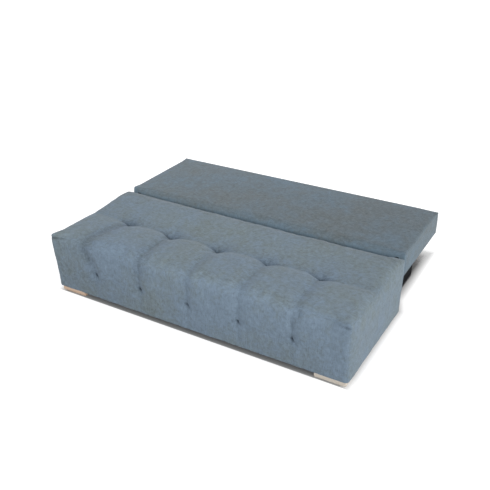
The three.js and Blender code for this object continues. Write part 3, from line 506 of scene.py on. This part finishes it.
def slab_form(points):
    """The back slab's upholstery, from points on its plain box, which lie in the frame already."""
    x, y, z = points.T
    low = (-HALF_WIDTH, SLAB_FRONT, SLAB_LOW)
    high = (HALF_WIDTH, SLAB_REAR, SLAB_TOP)
    share = ease((z - SLAB_LOW) / (SLAB_TOP - SLAB_LOW))
    between = ease((HALF_WIDTH - np.abs(x)) / (120 * MM))
    roll = (12 + 22 * between) * MM
    front = 9 * MM + (roll - 9 * MM) * share
    back = 9 * MM
    top = 9 * MM + (roll - 9 * MM) * (1 - ease((y - SLAB_FRONT) / (110 * MM)))
    from_ends = ease(np.minimum(y - SLAB_FRONT, SLAB_REAR - y) / (80 * MM))
    side = (5 + 9 * from_ends * ease((z - SLAB_TOP + 50 * MM) / (40 * MM))) * MM
    top = top + 4 * MM * from_ends * (1 - between)
    moved, out = round_off(points, low, high, ((side, side), (front, back), (5 * MM, top)))
    along = np.sin(math.pi * np.clip((y - SLAB_FRONT) / (SLAB_REAR - SLAB_FRONT), 0, 1))
    across = 1 - np.abs(x / HALF_WIDTH) ** 6
    upward = np.maximum(out[:, 2], 0) ** 2
    uneven = ripples(x, y, [(0.9, 0.42, 15, 0.3), (0.7, 0.26, 100, 1.9), (0.5, 0.17, 55, 3.3),
                            (0.4, 0.11, 130, 0.8), (0.3, 0.08, 5, 2.5)]) * MM
    lift = 4.5 * MM * along**0.8 * across + uneven * across * along
    near_right = ease((x - HALF_WIDTH + 140 * MM) / (140 * MM))
    near_rear = ease((y - SLAB_REAR + 200 * MM) / (200 * MM))
    lift = lift - 4 * MM * near_right * near_rear  # the rear right corner droops
    bulge = 1.6 * MM * np.sin(math.pi * np.clip((z - SLAB_LOW) / (SLAB_TOP - SLAB_LOW), 0, 1))
    bulge = bulge + MM * ripples(x + y, z, [(0.4, 0.21, 10, 0.9), (0.3, 0.12, 80, 2.2)])
    from_side = HALF_WIDTH - np.abs(x)
    from_top = SLAB_TOP - z
    from_rear = SLAB_REAR - y
    seam = seam_groove(np.where(from_top < 30 * MM, from_side + from_top, 1))
    seam = seam + seam_groove(np.where(from_rear < 30 * MM, from_side + from_rear, 1))
    seam = seam * (np.abs(out[:, 0]) > 0.05)
    moved[:, 2] += upward * lift
    moved[:, 0] += out[:, 0] ** 2 * np.sign(out[:, 0]) * bulge
    swollen = (3.5 + (1 - between)) * MM * bell(moved[:, 2] - 356 * MM, 18 * MM)
    moved[:, 1] += out[:, 1] ** 2 * np.where(out[:, 1] > 0, bulge, -swollen)
    moved += out * seam[:, None]
    forward = np.maximum(-out[:, 1], 0) ** 2
    aside = (x / HALF_WIDTH + 1) / 2
    low_front = forward * ease((SLAB_TOP - z) / (40 * MM))
    # Painted light on the front face, most at its low part by the seat, which shades it; the top is
    # painted darker and less blue toward the right end. Forward faces are bluer.
    return moved, {
        "painted_light_and_shade": 0.6 * forward + 0.6 * low_front - 0.25 * aside * upward,
        "facing": 0.5 * forward,
        "painted_darkening": 0.3 * aside * upward,
    }


def settle(name, lines, plain_faces, form, held_by, slack, pressure, cap, frames=14):
    """Simulates a coarse copy of a cover as cloth under pressure, for a few frames only. Gives the
    copy's plain points and each one's move, which is never more than the cap. On the slab nearly all
    of them reach the cap, so the cap sets how far it puffs, and not the cloth coming to rest."""
    piece = add_piece(name, lattice(lines, plain_faces))
    plain = points_of(piece.data)
    start = form(plain)[0]
    move_points(piece.data, start)
    group = piece.vertex_groups.new(name="held")
    held = np.round(held_by(plain), 1)
    for weight in np.unique(held):
        group.add([int(i) for i in np.flatnonzero(held == weight)], float(weight), "REPLACE")
    cloth = piece.modifiers.new("settle", "CLOTH")
    setup = cloth.settings
    setup.quality = 5
    setup.mass = 0.25
    setup.tension_stiffness = setup.compression_stiffness = 22
    setup.shear_stiffness = 9
    setup.bending_stiffness = 0.9
    setup.use_pressure = True
    setup.uniform_pressure_force = pressure
    setup.shrink_min = -slack
    setup.vertex_group_mass = "held"
    setup.effector_weights.gravity = 0
    cloth.collision_settings.use_collision = False
    cloth.point_cache.frame_start, cloth.point_cache.frame_end = 1, frames
    scene = bpy.context.scene
    for frame_number in range(1, frames + 1):
        scene.frame_set(frame_number)
    graph = bpy.context.evaluated_depsgraph_get()
    settled = points_of(piece.evaluated_get(graph).data)
    scene.frame_set(1)
    bpy.data.objects.remove(piece)
    step = settled - start
    far = np.linalg.norm(step, axis=1)
    return plain, step * (cap * np.tanh(far / cap) / np.maximum(far, 1e-9))[:, None]


def spread(points, coarse, step, reach):
    """Carries the coarse copy's moves over to a finer cover's points."""
    tree = KDTree(len(coarse))
    for number, place in enumerate(coarse):
        tree.insert(place, number)
    tree.balance()
    near = [tree.find_n(place, 9) for place in points]
    index = np.array([[found[1] for found in row] for row in near])
    weight = bell(np.array([[found[2] for found in row] for row in near]), reach) + 1e-9
    return (step[index] * weight[:, :, None]).sum(axis=1) / weight.sum(axis=1)[:, None]


def cutter(boxes):
    """One solid that fills all the given boxes."""
    made = []
    for low, high in boxes:
        bm = bmesh.new()
        bmesh.ops.create_cube(bm, size=1)
        size = [h - l for l, h in zip(low, high)]
        middle = [(h + l) / 2 for l, h in zip(low, high)]
        bmesh.ops.scale(bm, vec=size, verts=bm.verts)
        bmesh.ops.translate(bm, vec=middle, verts=bm.verts)
        made.append(add_piece("cut", bm))
    for other in made[1:]:
        combine(made[0], other, "UNION")
    return made[0]


def combine(piece, other, operation):
    """Joins another solid to a piece, or cuts it away, and drops the other."""
    step = piece.modifiers.new("combine", "BOOLEAN")
    step.operation = operation
    step.solver = "EXACT"
    step.object = other
    graph = bpy.context.evaluated_depsgraph_get()
    mesh = bpy.data.meshes.new_from_object(
        piece.evaluated_get(graph), preserve_all_data_layers=True, depsgraph=graph
    )
    piece.modifiers.clear()
    old, piece.data = piece.data, mesh
    bpy.data.meshes.remove(old)
    bpy.data.objects.remove(other)
    mesh.name = piece.name


def both_sides(low, high):
    """A box on the right, and its mirror image on the left."""
    return [(low, high), ((-high[0], low[1], low[2]), (-low[0], high[1], high[2]))]


def mark(mesh, name, values):
    """A value for each point, which a material can read."""
    layer = mesh.attributes.new(name, "FLOAT", "POINT")
    layer.data.foreach_set("value", values.astype(np.float32))


def smooth(mesh, degrees=45):
    mesh.shade_smooth()
    mesh.set_sharp_from_angle(angle=math.radians(degrees))


ACROSS_FOLDS = [o * MM for o in range(-18, 43, 3)]
BESIDE_STITCH = [o * MM for o in (-13.5, -9, -5.5, -2.5, 0, 2.5, 5.5, 9, 13.5)]
AT_EDGE = [o * MM for o in (-7.5, -5.5, -4, -2.6, -1.3, 1.3, 2.6, 4, 5.5, 7.5)]
GRID = 6 * MM
COARSE = 17 * MM  # the mesh that is simulated
SPREAD = COARSE * 0.8


def seat_holds(plain):
    """Where the cover is stitched or stapled down, from 0 to 1."""
    x, y, z = plain.T
    beside, _ = to_nearest_tuft(x)
    on_top = bell(np.hypot(beside, y - TOP_ROW), 14 * MM) * (z > SEAT_EDGE - MM)
    on_front = bell(np.hypot(beside, z - FRONT_ROW), 14 * MM) * (y < MM)
    base = 1 - ease((z - SEAT_LOW) / (30 * MM))
    back = ease((y - SEAT_DEPTH + 60 * MM) / (50 * MM))
    from_side = HALF_WIDTH - np.abs(x)
    upright = 0.8 * bell(np.hypot(from_side, np.minimum(y, SEAT_DEPTH - y)), 30 * MM)
    rim = 0.6 * bell(np.hypot(from_side, SEAT_EDGE - z), 24 * MM)
    face = 0.35 * (y < MM)
    return np.clip(np.maximum.reduce([on_top, on_front, base, back, upright, rim, face]), 0, 1)


def seat_cover():
    plain_faces = [
        lambda f: f.normal.z < -0.9,
        lambda f: f.normal.y > 0.9 and f.calc_center_median().z < DECK_BOTTOM,
    ]
    xs = even_lines(-HALF_WIDTH, HALF_WIDTH, GRID)
    xs = with_close_lines(xs, TUFT_XS, BESIDE_STITCH)
    xs = with_close_lines(list(xs), [-HALF_WIDTH, HALF_WIDTH], AT_EDGE)
    ys = with_close_lines(even_lines(0, SEAT_DEPTH, GRID), [TOP_ROW], ACROSS_FOLDS)
    ys = with_close_lines(list(ys), [0], AT_EDGE)
    zs = with_close_lines(even_lines(SEAT_LOW, SEAT_EDGE, GRID), [FRONT_ROW], BESIDE_STITCH)
    zs = with_close_lines(list(zs), [SEAT_EDGE], AT_EDGE)
    piece = add_piece("seat_cover", lattice((xs, ys, zs), plain_faces))
    lay_cloth(piece.data)
    plain = points_of(piece.data)
    shaped, marks = seat_form(plain)
    coarse = [even_lines(low, high, COARSE) for low, high in
              ((-HALF_WIDTH, HALF_WIDTH), (0, SEAT_DEPTH), (SEAT_LOW, SEAT_EDGE))]
    moves = settle("seat_settling", coarse, plain_faces, seat_form, seat_holds, 0.012, 4, 7 * MM)
    shaped += spread(plain, *moves, SPREAD)
    move_points(piece.data, shaped)
    for name, values in marks.items():
        mark(piece.data, name, values)
    deep = SEAT_REAR + 2 * OVERRUN
    in_panel = PANEL_OUT - 0.02
    combine(piece, cutter([
        ((-PANEL_OUT, SEAT_FRONT + PANEL_FRONT, -OVERRUN), (PANEL_OUT, deep, DECK_TOP)),
        *both_sides((in_panel, SEAT_PLATE_FRONT, SEAT_PLATE_LOW), (PLATE_OUT, deep, DECK_TOP)),
    ]), "DIFFERENCE")
    smooth(piece.data)
    return piece


def tuft_ties():
    """The twine that ties each tuft down: two short strands side by side, arched over the cloth."""
    on_top = np.array([(x, TOP_ROW, SEAT_EDGE) for x in TUFT_XS])
    on_front = np.array([(x, 0, FRONT_ROW) for x in TUFT_XS])
    upright = Matrix.Rotation(math.pi / 2, 4, "X") @ Matrix.Rotation(math.radians(TIE_TILT), 4, "Z")
    whole = bmesh.new()
    for places, turn in ((on_top, Matrix()), (on_front, upright)):
        for place in seat_form(places)[0]:
            for beside in (-TIE_GAP / 2, TIE_GAP / 2):
                circle = bmesh.ops.create_circle(whole, segments=TIE_SIDES, radius=TIE_RADIUS)
                made = circle["verts"]
                bmesh.ops.translate(whole, vec=(beside, -TIE_REACH, 0), verts=made)
                bmesh.ops.spin(
                    whole, geom=edges_of(made) + made, angle=math.pi, steps=TIE_STEPS, axis=(-1, 0, 0),
                    cent=(0, 0, 0),
                )
                strand = connected(made[0])
                open_ends = [e for e in edges_of(strand) if e.is_boundary]
                bmesh.ops.holes_fill(whole, edges=open_ends, sides=0)
                raise_it = Matrix.Translation((0, 0, TIE_LIFT - TIE_REACH))
                seat_it = Matrix.Translation(place) @ turn @ raise_it
                bmesh.ops.transform(whole, matrix=seat_it, verts=strand)
    bmesh.ops.recalc_face_normals(whole, faces=whole.faces)
    sort_by_points(whole)
    piece = add_piece("tuft_ties", whole)
    smooth(piece.data)
    return piece


def sort_by_points(bm):
    """Orders faces and edges by the points they join, because spin adds them in an order that changes
    from run to run."""
    bm.verts.index_update()

    def rank(element):
        total = 0
        for index in sorted(vert.index for vert in element.verts)[:3]:
            total = total * len(bm.verts) + index
        return total

    bm.faces.sort(key=rank)
    bm.edges.sort(key=rank)


def edges_of(verts):
    """The edges at some points, each once."""
    return list(dict.fromkeys(edge for vert in verts for edge in vert.link_edges))


def connected(start):
    """All the points joined to one by edges, in the order they are met."""
    found, waiting = {start: True}, [start]
    while waiting:
        for edge in waiting.pop().link_edges:
            for vert in edge.verts:
                if vert not in found:
                    found[vert] = True
                    waiting.append(vert)
    return list(found)


def slab_holds(plain):
    x, y, z = plain.T
    base = 1 - ease((z - SLAB_LOW) / (30 * MM))
    front = 1 - ease((y - SLAB_FRONT) / (25 * MM))
    return np.maximum(base, front)


def back_pad():
    step = GRID * 1.15
    xs = with_close_lines(even_lines(-HALF_WIDTH, HALF_WIDTH, step), [-HALF_WIDTH, HALF_WIDTH], AT_EDGE)
    ys = with_close_lines(even_lines(SLAB_FRONT, SLAB_REAR, step), [SLAB_REAR], AT_EDGE)
    zs = with_close_lines(even_lines(SLAB_LOW, SLAB_TOP, step), [SLAB_TOP], AT_EDGE)
    plain_faces = [lambda f: f.normal.z < -0.9]
    piece = add_piece("back_pad", lattice((xs, ys, zs), plain_faces))
    lay_cloth(piece.data)
    plain = points_of(piece.data)
    shaped, marks = slab_form(plain)
    coarse = [even_lines(low, high, COARSE) for low, high in
              ((-HALF_WIDTH, HALF_WIDTH), (SLAB_FRONT, SLAB_REAR), (SLAB_LOW, SLAB_TOP))]
    moves = settle("slab_settling", coarse, plain_faces, slab_form, slab_holds, 0.004, 2, 3 * MM)
    shaped += spread(plain, *moves, SPREAD)
    move_points(piece.data, shaped)
    for name, values in marks.items():
        mark(piece.data, name, values)
    frame_front, frame_rear = SLAB_FRONT + FRAME_BORDER, SLAB_REAR - FRAME_BORDER
    mouth_end, pocket_end = SLAB_FRONT + MOUTH_DEPTH, PIVOT_Y + POCKET_BEHIND
    plate_end = PIVOT_Y + BACK_PLATE_REAR
    combine(piece, cutter([
        ((-FRAME_OUT, frame_front, 0), (FRAME_OUT, frame_rear, FRAME_TOP)),
        *both_sides((PLATE_IN, SLAB_FRONT - OVERRUN, 0), (PLATE_OUT, mouth_end, MOUTH_TOP)),
        *both_sides((PLATE_IN, SLAB_FRONT + POCKET_START, 0), (PLATE_OUT, pocket_end, POCKET_TOP)),
        *both_sides((PLATE_IN, PIVOT_Y - BACK_PLATE_FRONT, 0), (PANEL_OUT, plate_end, FRAME_TOP)),
    ]), "DIFFERENCE")
    smooth(piece.data)
    return piece


# Cloth and finishes

def upholstery(name, warm, cool, depth=1.0):
    """Slate-blue chenille: mottled pile with short streaks. It reads painted shade, darker and bluer in
    the dips and darker in the creases, and painted light and shade, bluer where lighter; forward faces are
    bluer.
    """
    f = Finish(name)
    cloth = f.node("UVMap", {"uv_map": "cloth"})
    height = f.node("SeparateXYZ", {}, {"Vector": cloth}, output=1)
    upright = (0 - height).between(0, 0.03)
    along = f.node("Mapping", {}, {"Vector": cloth, "Scale": (1, 0.2, 1)})
    across = f.node("Mapping", {}, {"Vector": cloth, "Scale": (0.3, 1, 1)})
    broad = f.noise(f.place(), 2.6, 2.0)
    cloud = f.noise(cloth, 17, 3.0, 0.6, 0.8)
    mottle = f.noise(cloth, 48, 4.0, 0.65, 0.5)
    ribs = f.noise(along, 150, 3.0, 0.65)
    slubs = f.noise(across, 120, 3.0, 0.6, 0.3)
    grain = f.noise(cloth, 300, 3.0, 0.7)
    streak = ribs * (0.35 + upright * 0.65) + slubs * (1 - upright * 0.7)
    streak = streak / (1.35 - upright * 0.05)
    painted_dip_shade, painted_darkening, painted_light_and_shade, facing = (
        f.node("Attribute", {"attribute_type": "GEOMETRY", "attribute_name": mark}, output="Fac")
        for mark in ("painted_dip_shade", "painted_darkening", "painted_light_and_shade", "facing")
    )
    share = (
        0.48 + (broad - 0.5) * 2.0 + (cloud - 0.5) * 1.6 + (mottle - 0.5) * 0.45 + (streak - 0.5) * 0.15
        + painted_dip_shade * 0.7 + painted_light_and_shade * 0.25 + facing * 0.3
    )
    colour = f.tint(share.math_clamped(), linear(*warm), linear(*cool))
    # Painted shade darkens the dips and creases; painted light and shade lightens or darkens the cloth.
    tone = (
        1.0 + (broad - 0.5) * 0.3 + (cloud - 0.5) * 0.5 + (mottle - 0.5) * 0.8 + (streak - 0.5) * 0.85
        + (grain - 0.5) * 0.8 - painted_dip_shade * 0.17 - painted_darkening * 0.4 + painted_light_and_shade * 0.24
    )
    pile = streak * 0.8 + grain * 0.6 + mottle * 0.9
    return f.surface(
        Base_Color=f.shade(colour, tone * depth),
        Roughness=0.86 + (mottle - 0.5) * 0.2,
        Specular_IOR_Level=0.2,
        Sheen_Weight=0.2,
        Sheen_Roughness=0.45,
        Sheen_Tint=(0.8, 0.88, 1.0, 1),
        Normal=f.bump(pile, 0.0016, 0.8),
    )


def pine(name, axis):
    """Planed softwood with its growth rings drawn out along the piece."""
    f = Finish(name)
    stretch = [1, 1, 1]
    stretch[axis] = 0.045
    grain = f.place(tuple(stretch))
    rings = f.node(
        "TexWave",
        {"wave_type": "RINGS", "rings_direction": "XYZ"[axis], "wave_profile": "SAW"},
        {"Vector": grain, "Scale": 42.0, "Distortion": 5.0, "Detail": 3.0, "Detail Scale": 1.4},
    )
    fibre = f.noise(grain, 900, 3.0, 0.7)
    cloud = f.noise(f.place(), 9, 3.0)
    wood = f.tint(rings * 0.7 + fibre * 0.3, linear(222, 190, 142), linear(186, 142, 92))
    wood = f.shade(wood, 0.86 + cloud * 0.28)
    return f.surface(
        Base_Color=wood,
        Roughness=0.62 + fibre * 0.2,
        Specular_IOR_Level=0.35,
        Normal=f.bump(rings * 0.3 + fibre, 0.0004, 0.6),
    )


def chipboard(name):
    """Raw particle board: pale chips of a few millimetres, laid every way."""
    f = Finish(name)
    coords = f.place()
    bent = f.node("VectorMath", {"operation": "ADD"}, {0: coords, 1: f.noise_colour(coords, 120, 0.006)})
    chips = f.node("TexVoronoi", {"feature": "F1"}, {"Vector": bent, "Scale": 190.0}, output="Color")
    flake = f.node("SeparateColor", {}, {"Color": chips}, output=0)
    dust = f.noise(coords, 800, 2.0, 0.6)
    wood = f.tint(flake * 0.75 + dust * 0.25, linear(205, 175, 130), linear(156, 118, 76))
    return f.surface(
        Base_Color=wood, Roughness=0.78 + dust * 0.12, Normal=f.bump(flake * 0.5 + dust, 0.0004, 0.7)
    )


def beech(name, pale, deep):
    """Lacquered beech: warm cream, straight grain, and the short dark flecks of its rays."""
    f = Finish(name)
    grain = f.place((0.05, 1, 1))
    flecked = f.place((0.16, 1, 1))
    bands = f.noise(grain, 160, 4.0, 0.6, 0.6)
    cells = f.node("TexVoronoi", {"feature": "F1"}, {"Vector": flecked, "Scale": 330.0, "Randomness": 1.0})
    fleck = 1 - (cells * 330.0 * 0.003).between(0.12, 0.3)
    wood = f.tint(bands.between(0.3, 0.75), linear(*pale), linear(*deep))
    wood = f.tint(fleck * 0.35, wood, linear(176, 132, 92))
    return f.surface(
        Base_Color=wood,
        Roughness=0.42 + bands * 0.16,
        Specular_IOR_Level=0.45,
        Coat_Weight=0.25,
        Coat_Roughness=0.25,
        Normal=f.bump(bands * 0.5 - fleck * 0.4, 0.0003, 0.5),
    )


def black_laminate(name):
    """Black melamine on board, with a faint pressed wood grain and a little dust in it."""
    f = Finish(name)
    grain = f.place((1, 0.05, 1))
    pressed = f.noise(grain, 380, 4.0, 0.65, 0.3)
    dust = f.noise(f.place(), 14, 4.0, 0.6)
    colour = f.tint(pressed * 0.6 + dust * 0.4, linear(12, 13, 15), linear(26, 27, 29))
    return f.surface(
        Base_Color=colour, Roughness=0.62 + dust * 0.22, Specular_IOR_Level=0.03,
        Normal=f.bump(pressed, 0.0004, 0.6),
    )


def pressed_board(name):
    """Hardboard: brown pressed fibre, smooth with a short fuzz of darker fibres."""
    f = Finish(name)
    fibre = f.noise(f.place((1, 0.3, 1)), 420, 5.0, 0.7, 1.2)
    cloud = f.noise(f.place(), 7, 3.0)
    brown = f.tint(fibre.between(0.3, 0.7), linear(112, 82, 56), linear(84, 60, 40))
    brown = f.shade(brown, 0.85 + cloud * 0.3)
    return f.surface(Base_Color=brown, Roughness=0.66 + fibre * 0.2, Normal=f.bump(fibre, 0.0003, 0.6))


def moulded(name, colour, roughness, speck=0.08):
    """Moulded plastic with a fine spark-eroded texture and scuffs."""
    f = Finish(name)
    grit = f.noise(f.place(), 1400, 2.0, 0.5)
    scuff = f.noise(f.place((1, 0.12, 1)), 170, 4.0, 0.7).between(0.58, 0.72)
    worn = [min(1, c * 1.6 + 0.02) for c in colour]
    shade = f.shade(f.tint(scuff * 0.5, colour, worn), 1 - speck + grit * 2 * speck)
    return f.surface(
        Base_Color=shade, Roughness=roughness + scuff * 0.18, Normal=f.bump(grit, 0.0002, 0.5)
    )


def zinc_plate(name):
    """Bright zinc plating on steel: faintly blue and yellow, with drawing marks and dull spots."""
    f = Finish(name)
    cloud = f.noise(f.place(), 26, 4.0, 0.6)
    marks = f.noise(f.place((1, 0.08, 1)), 700, 3.0, 0.6)
    colour = f.tint(cloud.between(0.35, 0.65), linear(196, 202, 210), linear(204, 200, 184))
    colour = f.shade(colour, 0.88 + marks * 0.2)
    return f.surface(
        Base_Color=colour, Metallic=1.0, Roughness=0.3 + cloud * 0.16 + marks * 0.1,
        Normal=f.bump(marks, 0.00015, 0.5),
    )


def coated_steel(name):
    """Dark powder coat with its orange-peel skin, rubbed to bare metal in small places."""
    f = Finish(name)
    peel = f.noise(f.place(), 520, 2.0, 0.45)
    rub = f.noise(f.place(), 60, 5.0, 0.72).between(0.66, 0.72)
    colour = f.tint(rub * 0.7, linear(52, 56, 60), linear(150, 150, 148))
    return f.surface(
        Base_Color=colour, Metallic=rub * 0.9 + 0.1, Roughness=0.46 - rub * 0.12,
        Normal=f.bump(peel, 0.00025, 0.6),
    )


def thread(name):
    f = Finish(name)
    twist = f.noise(f.place(), 900, 2.0)
    colour = f.tint(twist, linear(70, 82, 95), linear(98, 112, 126))
    return f.surface(Base_Color=colour, Roughness=0.8, Normal=f.bump(twist, 0.0003, 0.5))


def dress_nodes():
    finishes = {
        "light_beech": beech("light_beech", (222, 215, 205), (204, 192, 176)),
        "shaded_beech": beech("shaded_beech", (216, 190, 168), (192, 160, 134)),
        "black_board": black_laminate("black_board"),
        "hardboard": pressed_board("hardboard"),
        "black_plastic": moulded("black_plastic", linear(34, 34, 35), 0.48),
        "white_nylon": moulded("white_nylon", linear(226, 224, 214), 0.4, 0.03),
        "dark_steel": coated_steel("dark_steel"),
        "zinc_steel": zinc_plate("zinc_steel"),
        "pine_x": pine("pine_x", 0),
        "pine_y": pine("pine_y", 1),
        "chipboard": chipboard("chipboard"),
    }
    slots = {part["node"]: part["material_slot"] for part in frame["record"]["subparts"]}
    for name, node in nodes.items():
        finish = slots[name]
        if finish == "frame_timber":
            low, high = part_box(name)
            along_x = high[0] - low[0] > high[1] - low[1]
            finish = "chipboard" if name.startswith("seat_panel") else "pine_x" if along_x else "pine_y"
        # The left foot gets a darker, more orange copy of the beech: painted shade.
        if name == "foot_left":
            finish = "shaded_beech"
        if finish in finishes:
            for held in node.material_slots:
                held.material = finishes[finish]


def dress(piece, material, body):
    piece.data.materials.clear()
    piece.data.materials.append(material)
    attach(piece, body)
    return piece


# Studio

def studio():
    """The camera fitted to the photo, soft suns, and a floor that is white where it is clear, with a
    painted shadow near the part.
    """
    yaw, pitch, roll = (math.radians(a) for a in (30.502, 28.096, -0.396))
    forward = Vector((-math.sin(yaw) * math.cos(pitch), math.cos(yaw) * math.cos(pitch), -math.sin(pitch)))
    level = Vector((math.cos(yaw), math.sin(yaw), 0))
    rise = level.cross(forward)
    right = level * math.cos(roll) + rise * math.sin(roll)
    up = rise * math.cos(roll) - level * math.sin(roll)
    camera = bpy.data.objects.new("camera", bpy.data.cameras.new("camera"))
    camera.data.sensor_width = 36
    camera.data.lens = 36 * 685.25 / 490
    camera.data.clip_end = 100
    turn = Matrix((right, up, -forward)).transposed().to_4x4()
    camera.matrix_world = Matrix.Translation((1.86397, -2.53405 + SEAT_FRONT, 2.22694)) @ turn
    bpy.context.scene.collection.objects.link(camera)
    bpy.context.scene.camera = camera

    lamps = [
        ("key", (0.90, -0.28, 0.34), 2.2, 50, (1.0, 0.985, 0.965)),
        ("fill", (-0.30, -0.85, 0.42), 0.9, 70, (0.97, 0.985, 1.0)),
        ("rim", (0.1, 0.8, 0.75), 0.35, 80, (1.0, 1.0, 1.0)),
    ]
    for name, place, strength, spread, colour in lamps:
        lamp = bpy.data.objects.new(name, bpy.data.lights.new(name, "SUN"))
        lamp.data.energy = strength
        lamp.data.angle = math.radians(spread)
        lamp.data.color = colour
        lamp.rotation_euler = Vector(place).to_track_quat("Z", "Y").to_euler()
        bpy.context.scene.collection.objects.link(lamp)

    world = bpy.data.worlds.new("studio")
    world.use_nodes = True
    bpy.context.scene.world = world
    tree = world.node_tree
    tree.nodes.clear()
    path = tree.nodes.new("ShaderNodeLightPath")
    seen = tree.nodes.new("ShaderNodeMath")
    seen.operation = "MAXIMUM"
    tree.links.new(path.outputs["Is Camera Ray"], seen.inputs[0])
    tree.links.new(path.outputs["Is Glossy Ray"], seen.inputs[1])
    soft = tree.nodes.new("ShaderNodeBackground")
    soft.inputs["Color"].default_value = (0.97, 0.985, 1, 1)
    soft.inputs["Strength"].default_value = 0.5
    white = tree.nodes.new("ShaderNodeBackground")
    white.inputs["Color"].default_value = (1, 1, 1, 1)
    white.inputs["Strength"].default_value = 1
    mix = tree.nodes.new("ShaderNodeMixShader")
    out = tree.nodes.new("ShaderNodeOutputWorld")
    tree.links.new(seen.outputs[0], mix.inputs[0])
    tree.links.new(soft.outputs[0], mix.inputs[1])
    tree.links.new(white.outputs[0], mix.inputs[2])
    tree.links.new(mix.outputs[0], out.inputs[0])

    bm = bmesh.new()
    bmesh.ops.create_grid(bm, x_segments=4, y_segments=4, size=25)
    floor = add_piece("floor", bm)
    f = Finish("floor")
    path = f.node("LightPath", output="Is Camera Ray")
    glossy = f.node("LightPath", output="Is Glossy Ray")
    x, y = (f.node("SeparateXYZ", {}, {"Vector": f.place()}, output=k) for k in range(2))
    # A painted shadow: the part's shade on the floor at rest is painted in, placed as in the photo: dark
    # between these lines, clear outside them. Where nothing stands near, the floor is clear at every pose.
    out_front = (SEAT_FRONT + 0.004 - y) * 110
    out_rear = (y - SLAB_REAR - 0.12) * 9
    beside_box = y.between(0.1, 0.22)
    out_side = (x.math("ABSOLUTE", x) - 0.905 + beside_box * 0.05) * 14
    clear = out_front.math("MAXIMUM", out_front, out_rear)
    clear = clear.math("MAXIMUM", clear, out_side)
    rear = y.between(0.4, 0.6)
    sky = f.node("AmbientOcclusion", {"samples": 8}, {"Distance": 0.5}, output=1)
    open_sky = (sky - rear * 0.12 - 0.68) / 0.14
    clear = clear.math("MAXIMUM", clear, open_sky).math_clamped()
    glow = path.math("MAXIMUM", path, glossy) * clear * 0.7
    # Painted shadow: where the floor is not clear it neither glows nor keeps its paler colour, and it is
    # darker still toward the rear.
    painted_rear_shadow = (y * 6).math_clamped() * (1 - clear) * 0.5
    pale = f.shade(f.tint(clear, (0.36, 0.36, 0.36), (0.6, 0.6, 0.6)), 1 - painted_rear_shadow)
    chalk = f.node("BsdfDiffuse", {}, {"Color": pale})
    light = f.node("Emission", {}, {"Color": (1, 1, 1, 1), "Strength": glow})
    both = f.node("AddShader", {}, {0: chalk, 1: light})
    f.node("OutputMaterial", {}, {"Surface": both})
    floor.data.materials.append(f.material)
    bpy.context.scene.view_settings.view_transform = "Standard"


studio()
seat_cloth = upholstery("upholstery_fabric", (120, 132, 135), (111, 127, 142), 0.98)
# The slab's cloth is a darker, less blue copy of the seat's: painted shade over the whole slab.
slab_cloth_painted_darker = upholstery("upholstery_fabric_slab_painted_darker", (112, 121, 124), (102, 119, 131), 0.94)
cover = dress(seat_cover(), seat_cloth, "seat")
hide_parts("seat_mattress", "seat_front_pad", "seat_side_pad_left", "seat_side_pad_right")
dress(tuft_ties(), thread("tuft_thread"), "seat")
pad = dress(back_pad(), slab_cloth_painted_darker, "backrest")
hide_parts("back_cushion")
dress_nodes()
